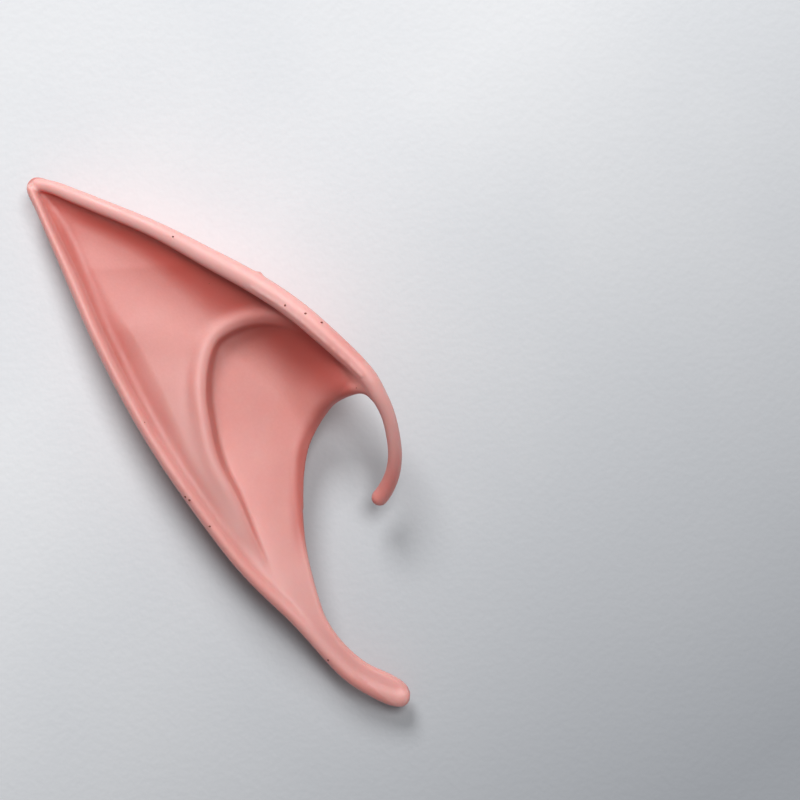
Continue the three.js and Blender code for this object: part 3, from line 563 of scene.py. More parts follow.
past_rim = rises(rows.at, *THIN_EDGE_SPAN)
front_inset = mix(FRONT_RIM_WIDTH, rows.thickness, past_rim) / rows.front_square
covered = ease(rows.cover / MOUTH_CLOSES)
rear_inset = mix(TAIL_EDGE_WIDTH / 2, REAR_RIM_WIDTH, covered) / rows.rear_square
squeeze = np.minimum(1, LARGEST_INSET * rows.width / np.maximum(front_inset + rear_inset, 1e-6))
inner_stations = mix((rear_inset * squeeze)[:, None],
                     (rows.width - front_inset * squeeze)[:, None], spread)
inner = chains_from(rows, inner_stations, inner_height(rows, inner_stations), LATEX_WALL)
first = int(np.searchsorted(rows.at, HOLLOW_STARTS))
inner[first] = inner[first].mean(axis=0)
inner[-1] = tail_point
print("outer chains", outer.shape, "hollow from row", first)


# %% Faces between rows of points
def grid_faces(grid, turned):
    """Quads between neighbouring rows, as corners one after another."""
    a, b = grid[:-1, :-1], grid[:-1, 1:]
    d, c = grid[1:, :-1], grid[1:, 1:]
    order = (a, d, c, b) if turned else (a, b, c, d)
    return np.stack([corner.reshape(-1, 3) for corner in order], axis=1)


def rounded_edge(outer_line, inner_line, outer_next, inner_next):
    """Points across a free edge, bulging by about half the thickness, flat in the first row."""
    middle = (outer_line + inner_line) / 2
    arm = (outer_line - inner_line) / 2
    out = (outer_line - outer_next) + (inner_line - inner_next)
    out /= np.maximum(np.linalg.norm(out, axis=1), 1e-9)[:, None]
    arm_length = np.linalg.norm(arm, axis=1)[:, None]
    reach = np.minimum(arm_length * EDGE_BULGE_OF_ARM, LATEX_WALL * EDGE_BULGE)
    reach[0] = 0
    angle = np.linspace(0, np.pi, EDGE_COLUMNS + 1)[None, :, None]
    return middle[:, None] + arm[:, None] * np.cos(angle) + (out * reach)[:, None] * np.sin(angle)


opens = int(np.argmax(rows.cover < 1)) - 1
front_edge = rounded_edge(outer[opens:, 0], inner[opens:, 0], outer[opens:, 3], inner[opens:, 3])
back_edge = rounded_edge(outer[opens:, -1], inner[opens:, -1], outer[opens:, -4], inner[opens:, -4])
quads = [
    grid_faces(outer, False),
    grid_faces(inner[first:], True),
    grid_faces(front_edge, True),
    grid_faces(back_edge, False),
]
print(sum(len(part) for part in quads), "faces in the skin")


# %% [markdown]
# ## Rims and hook
# The rims are round rolls that stand on low walls and hang over them a little, so their inner
# edge is crisp. The front one runs on past the bowl and becomes the hook. Both are rods: rings
# round a smooth middle line, half a width inside the outline, closed by round ends.

# %% Rods along a path: x, y, z, width and height of every ring
def rod(path):
    middle, width, height = path[:, :3], path[:, 3], path[:, 4]
    tangents = unit(np.gradient(middle, axis=0))
    across = unit(np.cross(tangents, [0, 0, 1]))
    upward = np.cross(across, tangents)
    steps = np.linalg.norm(np.diff(middle, axis=0), axis=1)
    from_start = np.concatenate([[0], steps.cumsum()])
    from_end = from_start[-1] - from_start
    ends = (quarter_circle(from_start / (width[0] / 2)) * quarter_circle(from_end / (width[-1] / 2)))
    turn = np.linspace(0, 2 * np.pi, ROD_SIDES + 1)[None, :, None]
    rings = (middle[:, None] + (width * ends / 2)[:, None, None] * across[:, None] * np.cos(turn)
             + (height * ends / 2)[:, None, None] * upward[:, None] * np.sin(turn))
    return grid_faces(rings, True)


def rim_points(line, shares, top, width, side):
    """Middles of a rim's rings, half its width inside an outline."""
    ahead = heading(line, shares, step=0.004)
    inward = np.column_stack([-ahead[:, 1], ahead[:, 0]]) * side
    plan = at_share(line, shares) + inward * (width[:, None] / 2 - RIM_OVERHANG)
    height = width * RIM_FLATNESS
    return np.column_stack([plan, top - height / 2, width, height])


def nose_ring(width, name):
    height = width * RIM_FLATNESS
    top = level(name, np.array([0.0]))[0]
    return np.array([[*in_plan(NOSE), top - height / 2, width, height]])


def round_rings(table, diameter):
    """Rings from a table of shares, as wide as they are high."""
    rings = np.array(table) * (EAR_WIDTH, EAR_HEIGHT, EAR_DEPTH, diameter)
    return rings[:, [0, 1, 2, 3, 3]]


# %% The front rim, which becomes the hook
front_shares = np.linspace(0.07, 0.82, 13)
front_at = front_shares * HOOK_AT
front_width = column("front_width", front_at) * FRONT_RIM_WIDTH
front_rim = rim_points(front_line, front_shares, level("front", front_at), front_width, -1)
hook = round_rings(HOOK_LINE, HOOK_DIAMETER)
nose_width = column("front_width", np.array([0.0]))[0] * FRONT_RIM_WIDTH
front_path = smooth_line(np.vstack([nose_ring(nose_width, "front"), front_rim, hook]), ROD_RINGS)
quads.append(rod(front_path))

# %% The bead along the free edge, from the root of the hook to the side of the bowl
edge_at = HOOK_AT + BEAD_REACH * np.array([0.26, 0.36, 0.48, 0.6, 0.75, 0.9, 1.0])
edge_rows = np.searchsorted(rows.at, edge_at)
bead_width = mix(EDGE_BEAD_WIDTH, LATEX_WALL, ease((edge_at - HOOK_AT) / BEAD_REACH * BEAD_TAPER))
bead = rim_points(cut_line, (edge_at - HOOK_AT) / (1 - HOOK_AT), 0, bead_width, -1)
bead[:, 2] = (outer[edge_rows, 0, 2] + inner[edge_rows, 0, 2]) / 2
bead[:, 4] = bead_width
print("edge heights", bead[:, 2].round(1))
bead = np.vstack([round_rings(BEAD_ROOT, EDGE_BEAD_WIDTH), bead])
quads.append(rod(smooth_line(bead, ROD_RINGS)))

# %% The rear rim, which becomes the rounded edge of the tail
rear_shares = np.concatenate([[0.02], np.linspace(0.05, 0.965, 24)])
to_tail = rises(rear_shares, *TAIL_EDGE_SPAN)
rear_width = mix(column("rear_width", rear_shares) * REAR_RIM_WIDTH, TAIL_EDGE_WIDTH, to_tail)
rear_width = mix(rear_width, TAIL_END_WIDTH, rises(rear_shares, *TAIL_END_SPAN))
rear_top = level("rear", rear_shares)
rear_rim = rim_points(rear_line, rear_shares, rear_top, rear_width, 1)
above_valley = (column("rear", rear_shares) - column("valley", rear_shares)) * EAR_DEPTH
taller = np.maximum(rear_rim[:, 4], above_valley + REAR_RIM_SUNK)
rear_rim[:, 4] = mix(taller, TAIL_THICKNESS, to_tail)
rear_rim[:, 2] = rear_top - rear_rim[:, 4] / 2
tail_tip = [[*in_plan(TAIL_TIP), rear_rim[-1, 2], TAIL_END_WIDTH, TAIL_THICKNESS]]
rear_path = smooth_line(np.vstack([nose_ring(nose_width, "rear"), rear_rim, tail_tip]), ROD_RINGS)
quads.append(rod(rear_path))

# %% [markdown]
# ## One soft moulding
# The skin and the rods still cut through each other. A voxel remesh rebuilds everything as one
# closed surface of even quads, as if it had been cast in one go, and a few rounds of smoothing
# take the steps out. The root of the hook, the nose and the crease beside the rear rim get more
# rounds, so they flow into what is round them. A collapse then thins the mesh.

# %% Join, remesh and read back
corners, index = np.unique(np.concatenate(quads).reshape(-1, 3).round(5), axis=0, return_inverse=True)
index = index.reshape(-1, 4)
low = corners.min(axis=0)
high = corners.max(axis=0)
origin = np.array([(low[0] + high[0]) / 2, (low[1] + high[1]) / 2, low[2]])


def mesh_object(name, points, faces):
    mesh = bpy.data.meshes.new(name)
    mesh.from_pydata([tuple(p) for p in points], [], [tuple(dict.fromkeys(f)) for f in faces])
    mesh.validate()
    thing = bpy.data.objects.new(name, mesh)
    bpy.context.scene.collection.objects.link(thing)
    return thing


def settled(thing):
    """Applies the modifiers of a thing and takes them off."""
    graph = bpy.context.evaluated_depsgraph_get()
    mesh = bpy.data.meshes.new_from_object(thing.evaluated_get(graph))
    thing.modifiers.clear()
    old, thing.data = thing.data, mesh
    bpy.data.meshes.remove(old)
    return thing


faces = [f for f in index.tolist() if len(set(f)) > 2]
shell = mesh_object("latex_ear", (corners - origin) * MM, faces)
remesh = shell.modifiers.new("cast", "REMESH")
remesh.mode = "VOXEL"
remesh.voxel_size = VOXEL * MM
remesh.adaptivity = 0
settled(shell)
print("moulding:", len(shell.data.vertices), "points,", len(shell.data.polygons), "faces")


# %% Smooth it
ROOT_REACH = 5.0
NOSE_REACH = 3.0
SOFTER = 0.7
CREASE_AT = 2.1
CREASE_WIDTH = 1.6
SMOOTHING_ROUNDS = 14
SMOOTHING = 0.5
SWELLING = -0.52


def vertex_values(mesh, name):
    """The places or the normals of a mesh's points."""
    flat = np.empty(len(mesh.vertices) * 3)
    mesh.vertices.foreach_get(name, flat)
    return flat.reshape(-1, 3)


def put_points(mesh, points):
    mesh.vertices.foreach_set("co", points.ravel())
    mesh.update()


def smoothing(points, edges, strength):
    total = np.zeros_like(points)
    count = np.bincount(edges.ravel(), minlength=len(points))[:, None]
    for k in range(3):
        total[:, k] = (np.bincount(edges[:, 0], points[edges[:, 1], k], len(points))
                       + np.bincount(edges[:, 1], points[edges[:, 0], k], len(points)))
    return points + (total / count - points) * strength


edges = np.empty(len(shell.data.edges) * 2, int)
shell.data.edges.foreach_get("vertices", edges)
edges = edges.reshape(-1, 2)
surface = vertex_values(shell.data, "co")
root = (hook[0, :3] - origin) * MM
nose = (np.array([*in_plan(NOSE), tip_point[2]]) - origin) * MM
softer = sum(SOFTER * ease(1 - np.linalg.norm(surface - place, axis=1) / (reach * MM))
             for place, reach in ((root, ROOT_REACH), (nose, NOSE_REACH)))
from_rear = gap_to((surface / MM + origin)[:, :2], rear_line)
softer = np.minimum(softer + bump(from_rear - CREASE_AT, CREASE_WIDTH), 1)[:, None]
for step in range(SMOOTHING_ROUNDS):
    surface = smoothing(surface, edges, SMOOTHING)
    surface = smoothing(surface, edges, SWELLING)
for step in range(SMOOTHING_ROUNDS):
    surface = smoothing(surface, edges, SMOOTHING * softer)
surface[:, 2] = np.maximum(surface[:, 2], 0)
put_points(shell.data, surface)

# %% [markdown]
# ## Marks of the mould
# Where the two halves of the mould met, a thin rough seam is left along the front rim, and a
# small nub of flash beside it. Both are pushed out of the fine surface, so they catch the light
# like the real ones and go wherever the mesh goes.

# %% Seam and nub
SEAM_STARTS = 0.60
SEAM_ENDS = 0.93
SEAM_ACROSS = 0.25
SEAM_UP = 0.43
SEAM_WIDTH = 0.6
SEAM_HEIGHT = 0.15
SEAM_GRAIN = 1.1
SEAM_ROUGHNESS = 0.5
SEAM_ABOVE = 9.0
SEAM_MARGIN = 1.0
NUB = (0.614, 0.812)
NUB_WIDTH = 1.1
NUB_HEIGHT = 0.3
RIM_SHARE = 0.72

mesh = shell.data
rim_part = front_path[: int(ROD_RINGS * RIM_SHARE)]
seam = rim_part[rim_part[:, 0] > SEAM_STARTS * EAR_WIDTH]
seam = seam[seam[:, 0] < SEAM_ENDS * EAR_WIDTH]
ahead = unit(np.gradient(seam[:, :2], axis=0))
inward = np.column_stack([ahead[:, 1], -ahead[:, 0]])
seam_line = np.column_stack([seam[:, :2] + inward * seam[:, 3:4] * SEAM_ACROSS,
                             seam[:, 2] + seam[:, 4] * SEAM_UP])
skin = vertex_values(mesh, "co") / MM + origin
beside_seam = skin[:, 0] > seam_line[:, 0].min() - SEAM_MARGIN
close = np.flatnonzero((skin[:, 2] > SEAM_ABOVE) & beside_seam)
gaps = np.full(len(close), np.inf)
for place in seam_line:
    gaps = np.minimum(gaps, np.linalg.norm(skin[close] - place, axis=1))
grain = np.array([noise.noise(Vector(p) * SEAM_GRAIN) for p in skin[close]])
push = np.zeros(len(skin))
push[close] = SEAM_HEIGHT * bump(gaps, SEAM_WIDTH) * (1 + SEAM_ROUGHNESS * grain)
nearest_rim = front_path[np.argmin(np.linalg.norm(front_path[:, :2] - in_plan(NUB), axis=1))]
nub_place = np.array([*in_plan(NUB), nearest_rim[2]])
push += NUB_HEIGHT * bump(np.linalg.norm(skin - nub_place, axis=1), NUB_WIDTH)
put_points(mesh, vertex_values(mesh, "co") + vertex_values(mesh, "normal") * push[:, None] * MM)
print("seam", len(seam_line), "steps, pushed out", int((push > 0.02).sum()), "points")

# %% Thin it
thin = shell.modifiers.new("thin", "DECIMATE")
thin.ratio = TRIANGLES / (2 * len(shell.data.polygons))
thin.use_collapse_triangulate = True
settled(shell)
shell.data.shade_smooth()
print("thinned to", len(shell.data.polygons), "triangles")

# %% [markdown]
# ## Painted light and painted shade
# Light is painted paler onto the tops of the rims, the lip and the lower part of the face, where
# the lamps fall on them. Shade is painted deeper onto the slope under the front rim, the upper
# valley, the rolled edge and the end of the hook. Both are saved on the mesh as attributes, a
# number for each point worked out from its distance to these lines, so the material can follow the
# form.

# %% Reaches in mm and strengths as shares, of the painted light and shade
# Where they start or end is a share of a line or of the ear's height. A pair goes from one
# strength to another.
UPWARD_GAIN = 2
UPWARD_START = 0.2
LIT_RIM_REACH = 0.45
LIT_RIM_FADE = 0.6
PLAINER_AT = 0.66
PLAINER = 0.6
HOOK_END_PLAINER = 0.9
LIT_REAR_RIM = (0.55, 0.1)
LOWER_LIGHT_FADES = (0.42, 0.3)
LOWER_LIGHT = (0.45, 0.85)
LOWER_LIGHT_TAIL = 0.6
LIT_LIP = 0.55
LIP_LESS_DEEP = 0.5

TONE_REACH = 10.0
TONE_PER_WIDTH = 5
TONELESS_WIDTH = 1.6
TONE_EDGE = 1.5
TONE_DEPTH = 1.5
CORNER_REACH = 9.0
CORNER_LESS_DEEP = 0.3
ROLL_REACH = 2.0
ROLL_EDGE = 1.4
ROLL_DEEP = 0.6
HOOK_REACH = 2.5
HOOK_DEEP = 0.8
LOWER_DEEP = 0.88
VALLEY_REACH = 1.5
VALLEY_DEEP = 0.4
VALLEY_LESS_LIGHT = 0.6
TOP_DEEP = 0.3
CREASE_TONE_AT = 3.4
CREASE_TONE_WIDTH = 3.2
CREASE_DEEP = (0.38, 0.65)


def nearest_ring(points, path):
    """The ring of a rod that is nearest in plan to each point, and how far off it is."""
    best = np.full(len(points), np.inf)
    ring = np.zeros(len(points), int)
    for i, place in enumerate(path[:, :2]):
        gap = np.hypot(points[:, 0] - place[0], points[:, 1] - place[1])
        closer = gap < best
        best[closer] = gap[closer]
        ring[closer] = i
    return ring, best


def save_attribute(mesh, name, values):
    attribute = mesh.attributes.new(name, "FLOAT", "POINT")
    attribute.data.foreach_set("value", values.astype(np.float32))
    print(name, "mean", round(float(values.mean()), 3), "most", round(float(values.max()), 2))


# %% Painted light on the tops of the rims
skin = vertex_values(shell.data, "co") / MM + origin
upward = ease(vertex_values(shell.data, "normal")[:, 2] * UPWARD_GAIN + UPWARD_START)
# Painted light: the upper side of each rim is made paler, standing in for the lamps' sheen on it.
rubbed = np.zeros(len(skin))
along_rods = np.linspace(0, 1, ROD_RINGS + 1)
at_hook_end = rises(along_rods, start=0.8, run=0.2)
plainer = PLAINER * bump(along_rods - PLAINER_AT, width=0.16)
front_strength = 1 - plainer - HOOK_END_PLAINER * at_hook_end
rear_strength = mix(*LIT_REAR_RIM, rises(along_rods, start=0.45, run=0.2))
for rim, strength in ((front_path, front_strength), (rear_path, rear_strength)):
    ring, gap = nearest_ring(skin, rim)
    above = skin[:, 2] - rim[ring, 2]
    side = 1 - rises(gap, rim[ring, 3] * LIT_RIM_REACH, LIT_RIM_FADE)
    rubbed = np.maximum(rubbed, side * ease(above / LIT_RIM_FADE + 0.5) * upward * strength[ring])
print("rims mean", round(float(rubbed.mean()), 3))

# %% Painted shade: slope, rolled edge and hook, then valley and top
# Painted shade: the slope under the front rim, the rolled edge, the hook's end, the valley, the upper
# face and the crease beside the rear rim are made deeper, where shade falls.
ring, gap = nearest_ring(skin, rim_part)
below = front_path[ring, 2] - skin[:, 2]
ring_width = front_path[ring, 3]
reach = np.minimum(TONE_REACH, (ring_width - TONELESS_WIDTH) * TONE_PER_WIDTH)
shaded = ease(TONE_EDGE - TONE_EDGE * (gap - ring_width / 2) / np.maximum(reach, 0.5))
shaded = shaded * ease(below / TONE_DEPTH) * upward
near_corner = ease(1 - np.linalg.norm(skin[:, :2] - corner, axis=1) / CORNER_REACH)
shaded *= 1 - CORNER_LESS_DEEP * near_corner
ring, gap = nearest_ring(skin, cut_line)
on_roll = (ease(ROLL_EDGE - gap / ROLL_REACH) * falls(ring / len(cut_line), end=0.55, run=0.12)
           * (1 - near_corner))
ring, gap = nearest_ring(skin, front_path)
on_hook = ease(1 - gap / HOOK_REACH) * at_hook_end[ring]
shaded = np.maximum(shaded, np.maximum(on_roll * ROLL_DEEP, on_hook * HOOK_DEEP))
height_share = skin[:, 1] / EAR_HEIGHT
shaded *= mix(LOWER_DEEP, 1, rises(height_share, start=0.76, run=0.08))
outside_painted_light = upward * (1 - rubbed)
in_valley = ease(-signed_distance(skin[:, :2], ridge_line) / VALLEY_REACH) * outside_painted_light
shaded = np.maximum(shaded, in_valley * VALLEY_DEEP * rises(height_share, start=0.45, run=0.4))
shaded = np.maximum(shaded, TOP_DEEP * outside_painted_light * rises(height_share, start=0.62, run=0.2))
from_rear = gap_to(skin[:, :2], rear_line)
beside_rim = (bump(from_rear - CREASE_TONE_AT, CREASE_TONE_WIDTH)
              * rises(height_share, start=0.2, run=0.4) * outside_painted_light)
shaded = np.maximum(shaded, beside_rim * mix(*CREASE_DEEP, rises(height_share, start=0.5, run=0.25)))
print("deep tones mean", round(float(shaded.mean()), 3))

# %% Painted light on the lower part of the face and on the lip
into_bowl = signed_distance(skin[:, :2], lip_line)
outside_bowl = np.maximum(ease(-into_bowl), LOWER_LIGHT_TAIL * falls(height_share, end=0.33, run=0.1))
# Painted light: the lower part of the face is made paler where it turns more towards the lamps.
lower_light = falls(height_share, end=0.72, run=mix(*LOWER_LIGHT_FADES, outside_bowl))
lower_light *= upward * (1 - on_roll) * (1 - VALLEY_LESS_LIGHT * in_valley)
rubbed = np.maximum(rubbed, lower_light * mix(*LOWER_LIGHT, outside_bowl))
ring, gap = nearest_ring(skin, lip_line)
along_lip = ring / len(lip_line)
on_lip = (bump(into_bowl + LIP_WIDTH / 2, LIP_WIDTH) * rises(along_lip, start=0, run=0.35)
          * falls(along_lip, end=0.9, run=0.2))
# Painted highlight: the top of the lip is made paler where it catches the light.
rubbed = np.maximum(rubbed, on_lip * upward * LIT_LIP)
shaded *= 1 - LIP_LESS_DEEP * on_lip
save_attribute(shell.data, "rubbed", rubbed)
save_attribute(shell.data, "hollow", shaded)

# %% [markdown]
# ## Latex
# Soft satin rubber, coloured through and a little translucent: light that enters comes out
# redder, so its shadows are warm. It isn't one colour either. Pigment settles in faint clouds
# and the mould leaves a fine grain. Shade is painted deeper into creases and hollows, and
# light is painted paler onto the rims and the lower face. The clouds and the grain are a node
# group with its own sizes and tones, because the floor and the trapped specks need the same effect.

# %% Clouds and grain as one node group
def fill(tree, node, sockets):
    """Gives inputs a plain value, or a link where the output of another node is named."""
    for name, value in sockets.items():
        if isinstance(value, bpy.types.NodeSocket):
            tree.links.new(value, node.inputs[name])
        else:
            node.inputs[name].default_value = value


def add_node(tree, kind, sockets=None, **values):
    node = tree.nodes.new(kind)
    for name, value in values.items():
        setattr(node, name, value)
    fill(tree, node, sockets or {})
    return node


def mix_tones(tree, share, under, over, way="MIX"):
    """Sockets 6 and 7 of a mix node, and its output 2, are the ones for colours."""
    return add_node(tree, "ShaderNodeMix", {"Factor": share, 6: under, 7: over},
                    data_type="RGBA", blend_type=way).outputs[2]


def make_clouds():
    group = bpy.data.node_groups.new("clouds_and_grain", "ShaderNodeTree")
    for name, kind, value in (("Tone", "Color", (1, 1, 1, 1)),
                              ("Cloud Tone", "Color", (0.5, 0.5, 0.5, 1)),
                              ("Cloud Size", "Float", 10.0), ("Cloud Amount", "Float", 0.5),
                              ("Grain Size", "Float", 0.5), ("Grain Amount", "Float", 0.05)):
        socket = group.interface.new_socket(name, in_out="INPUT", socket_type="NodeSocket" + kind)
        socket.default_value = value
    for name, kind in (("Tone", "Color"), ("Clouds", "Float"), ("Grain", "Float")):
        group.interface.new_socket(name, in_out="OUTPUT", socket_type="NodeSocket" + kind)
    given = add_node(group, "NodeGroupInput")
    where = add_node(group, "ShaderNodeTexCoord")
    fields = []
    for size, detail in (("Cloud Size", 3.0), ("Grain Size", 1.0)):
        per_metre = add_node(group, "ShaderNodeMath", {0: 1 / MM, 1: given.outputs[size]},
                             operation="DIVIDE")
        field = add_node(group, "ShaderNodeTexNoise", {
            "Detail": detail, "Vector": where.outputs["Object"], "Scale": per_metre.outputs[0]})
        fields.append(field.outputs["Fac"])
    spread = add_node(group, "ShaderNodeMapRange",
                      {"From Min": 0.35, "From Max": 0.65, "Value": fields[0]},
                      interpolation_type="SMOOTHSTEP")
    amount = add_node(group, "ShaderNodeMath",
                      {0: spread.outputs["Result"], 1: given.outputs["Cloud Amount"]},
                      operation="MULTIPLY")
    clouded = mix_tones(group, amount.outputs[0], given.outputs["Tone"], given.outputs["Cloud Tone"])
    grained = mix_tones(group, given.outputs["Grain Amount"], clouded, fields[1], "OVERLAY")
    add_node(group, "NodeGroupOutput",
             {"Tone": grained, "Clouds": spread.outputs["Result"], "Grain": fields[1]})
    return group


clouds = make_clouds()
print("group", clouds.name, "with", len(clouds.nodes), "nodes")


# %% A material with clouds and grain in its colour, roughness and bump
def new_material(name, tone, cloud_tone, sizes, amounts, rough, bump_height):
    """Sizes and amounts are for clouds and grain. Rough is the roughness of both cloud tones."""
    material = bpy.data.materials.new(name)
    material.use_nodes = True
    tree = material.node_tree
    shader = tree.nodes["Principled BSDF"]
    pattern = add_node(tree, "ShaderNodeGroup", {
        "Tone": (*tone, 1), "Cloud Tone": (*cloud_tone, 1),
        "Cloud Size": sizes[0], "Grain Size": sizes[1],
        "Cloud Amount": amounts[0], "Grain Amount": amounts[1]}, node_tree=clouds)
    gloss = add_node(tree, "ShaderNodeMapRange", {
        "To Min": rough[0], "To Max": rough[1], "Value": pattern.outputs["Clouds"]})
    relief = add_node(tree, "ShaderNodeBump", {
        "Distance": bump_height * MM, "Height": pattern.outputs["Grain"]})
    fill(tree, shader, {
        "Base Color": pattern.outputs["Tone"], "Roughness": gloss.outputs["Result"],
        "Normal": relief.outputs["Normal"]})
    return tree, shader, pattern, material


# %% Latex material
LATEX_TONE = (0.67, 0.245, 0.213)
LATEX_CLOUD = (0.71, 0.28, 0.247)
# Painted shade in the hollows, painted light on the rims and the lower face, painted shade in creases:
LATEX_HOLLOW_SHADE = (0.52, 0.07, 0.048)
LATEX_PAINTED_LIGHT = (0.82, 0.445, 0.415)
LATEX_CREVICE_SHADE = (0.76, 0.15, 0.11)
CREVICE_REACH = 6.0
CREVICE_OPEN = 0.80
CREVICE_CLOSED = 0.30
CREVICE_MOST = 0.7
HOLLOW_SHADE_MOST = 0.95
PAINTED_LIGHT_MOST = 0.9
SCATTER_DEPTH = 2.5

tree, shader, pattern, latex = new_material(
    "salmon_latex", LATEX_TONE, LATEX_CLOUD, (9.0, 0.45), (0.8, 0.06), (0.50, 0.58), 0.01)


def blend_tone(tree, mask, under, tone, most):
    """Lays a tone over what is under it, where the mask is high, at most so much."""
    share = add_node(tree, "ShaderNodeMath", {0: mask, 1: most}, operation="MULTIPLY")
    return mix_tones(tree, share.outputs[0], under, (*tone, 1))


# Painted shade: where ambient occlusion finds a crease, the colour is made deeper and redder.
crevice = add_node(tree, "ShaderNodeAmbientOcclusion", {"Distance": CREVICE_REACH * MM}, samples=8)
crevice_shade = add_node(tree, "ShaderNodeMapRange", {
    "From Min": CREVICE_OPEN, "From Max": CREVICE_CLOSED, "Value": crevice.outputs["AO"]},
    interpolation_type="SMOOTHSTEP")
toned = blend_tone(tree, crevice_shade.outputs["Result"], pattern.outputs["Tone"],
                   LATEX_CREVICE_SHADE, CREVICE_MOST)
# Painted shade from the saved hollow mask, then painted light from the saved mask of lit rims, lip and
# lower face.
for name, tone, most in (("hollow", LATEX_HOLLOW_SHADE, HOLLOW_SHADE_MOST), ("rubbed", LATEX_PAINTED_LIGHT, PAINTED_LIGHT_MOST)):
    saved = add_node(tree, "ShaderNodeAttribute", attribute_name=name)
    toned = blend_tone(tree, saved.outputs["Fac"], toned, tone, most)
fill(tree, shader, {
    "Base Color": toned, "Specular IOR Level": 1.0, "Subsurface Weight": 0.7,
    "Subsurface Radius": (1.0, 0.3, 0.2), "Subsurface Scale": SCATTER_DEPTH * MM})
shell.data.materials.append(latex)
print("latex", len(tree.nodes), "nodes")

# %% [markdown]
# ## Specks
# Air bubbles caught in the cast leave small pits, most of them on the rims, and the shade in them
# is painted as dark dots: a geometry tree drops each named place onto the ear with a ray, adds a
# scatter of finer ones, and puts a small flattened dark bead on each. A fixed seed keeps them where
# they are.

# %% Places of the larger specks, as shares of width and height
SPECK_PLACES = [
    (0.391, 0.882), (0.681, 0.753), (0.733, 0.738), (0.774, 0.7215),
    (0.433, 0.395), (0.422, 0.401), (0.484, 0.346), (0.785, 0.092),
]
SPECK_SIZE = 0.36
FINE_SIZE = 0.18
FINE_PER_SQUARE_METRE = 1800.0
SPECK_SEED = 7
LEAST_UPWARD = 0.3
THINNEST = (0.35, 0.35, 0.25)
FULLEST = (0.6, 0.5, 0.35)


def make_speck_tree():
    tree = bpy.data.node_groups.new("specks_on_latex", "GeometryNodeTree")
    for way in ("OUTPUT", "INPUT"):
        tree.interface.new_socket("Geometry", in_out=way, socket_type="NodeSocketGeometry")
    for name, kind in (("Ear", "Object"), ("Material", "Material"), ("Speck Size", "Float"),
                       ("Fine Size", "Float"), ("Fine Per Square Metre", "Float"), ("Seed", "Int")):
        tree.interface.new_socket(name, in_out="INPUT", socket_type="NodeSocket" + kind)
    given = add_node(tree, "NodeGroupInput").outputs
    ear = add_node(tree, "GeometryNodeObjectInfo", {"Object": given["Ear"]}).outputs
    ray = add_node(tree, "GeometryNodeRaycast", {
        "Ray Direction": (0, 0, -1), "Target Geometry": ear["Geometry"]}).outputs
    landing = add_node(tree, "GeometryNodeCaptureAttribute")
    landing.capture_items.new("VECTOR", "Facing")
    landing.capture_items.new("BOOLEAN", "Landed")
    fill(tree, landing, {
        "Geometry": given["Geometry"], "Facing": ray["Hit Normal"], "Landed": ray["Is Hit"]})
    landing = landing.outputs
    drop = add_node(tree, "GeometryNodeSetPosition", {
        "Geometry": landing["Geometry"], "Position": ray["Hit Position"]}).outputs
    normal = add_node(tree, "GeometryNodeInputNormal").outputs["Normal"]
    facing_up = add_node(tree, "ShaderNodeSeparateXYZ", {"Vector": normal})
    upper_faces = add_node(tree, "ShaderNodeMath", {0: facing_up.outputs["Z"], 1: LEAST_UPWARD},
                           operation="GREATER_THAN")
    scatter = add_node(tree, "GeometryNodeDistributePointsOnFaces", {
        "Mesh": ear["Geometry"], "Density": given["Fine Per Square Metre"],
        "Seed": given["Seed"], "Selection": upper_faces.outputs["Value"]}).outputs
    join = add_node(tree, "GeometryNodeJoinGeometry")
    for points, normal, wanted, size in (
            (drop["Geometry"], landing["Facing"], landing["Landed"], "Speck Size"),
            (scatter["Points"], scatter["Normal"], True, "Fine Size")):
        bead = add_node(tree, "GeometryNodeMeshIcoSphere", {"Subdivisions": 3, "Radius": given[size]})
        align = add_node(tree, "FunctionNodeAlignRotationToVector", {"Vector": normal})
        vary = add_node(tree, "FunctionNodeRandomValue", {
            "Min": THINNEST, "Max": FULLEST, "Seed": given["Seed"]}, data_type="FLOAT_VECTOR")
        place = add_node(tree, "GeometryNodeInstanceOnPoints", {
            "Points": points, "Selection": wanted, "Instance": bead.outputs["Mesh"],
            "Rotation": align.outputs["Rotation"], "Scale": vary.outputs["Value"]})
        fill(tree, join, {"Geometry": place.outputs["Instances"]})
    real = add_node(tree, "GeometryNodeRealizeInstances", {"Geometry": join.outputs["Geometry"]})
    paint = add_node(tree, "GeometryNodeSetMaterial", {
        "Geometry": real.outputs["Geometry"], "Material": given["Material"]})
    add_node(tree, "NodeGroupOutput", {"Geometry": paint.outputs["Geometry"]})
    return tree


# %% Specks on the ear
# Painted shade: the dark beads stand in for the shade inside the pits.
tree, shader, pattern, pit_shade = new_material(
    "painted_pit_shade", (0.16, 0.045, 0.035), (0.26, 0.08, 0.06), (0.6, 0.1), (1.0, 0.2), (0.5, 0.7), 0.01)
shader.inputs["Specular IOR Level"].default_value = 0.2
speck_starts = np.array([(x * EAR_WIDTH, y * EAR_HEIGHT, EAR_DEPTH * 2) for x, y in SPECK_PLACES])
specks = mesh_object("specks", (speck_starts - origin) * MM, [])
speck_tree = make_speck_tree()
speck_values = {"Ear": shell, "Material": pit_shade, "Speck Size": SPECK_SIZE * MM,
                "Fine Size": FINE_SIZE * MM, "Fine Per Square Metre": FINE_PER_SQUARE_METRE,
                "Seed": SPECK_SEED}
on_ear = specks.modifiers.new("specks", "NODES")
on_ear.node_group = speck_tree
for socket in speck_tree.interface.items_tree:
    if socket.in_out == "INPUT" and socket.name in speck_values:
        on_ear[socket.identifier] = speck_values[socket.name]
settled(specks)
specks.data.shade_smooth()
print("specks", len(specks.data.polygons), "faces")

# %% [markdown]
# ## The studio
# A plain pale floor with painted shade that darkens it away from the window, one broad key light and a
# weaker one.

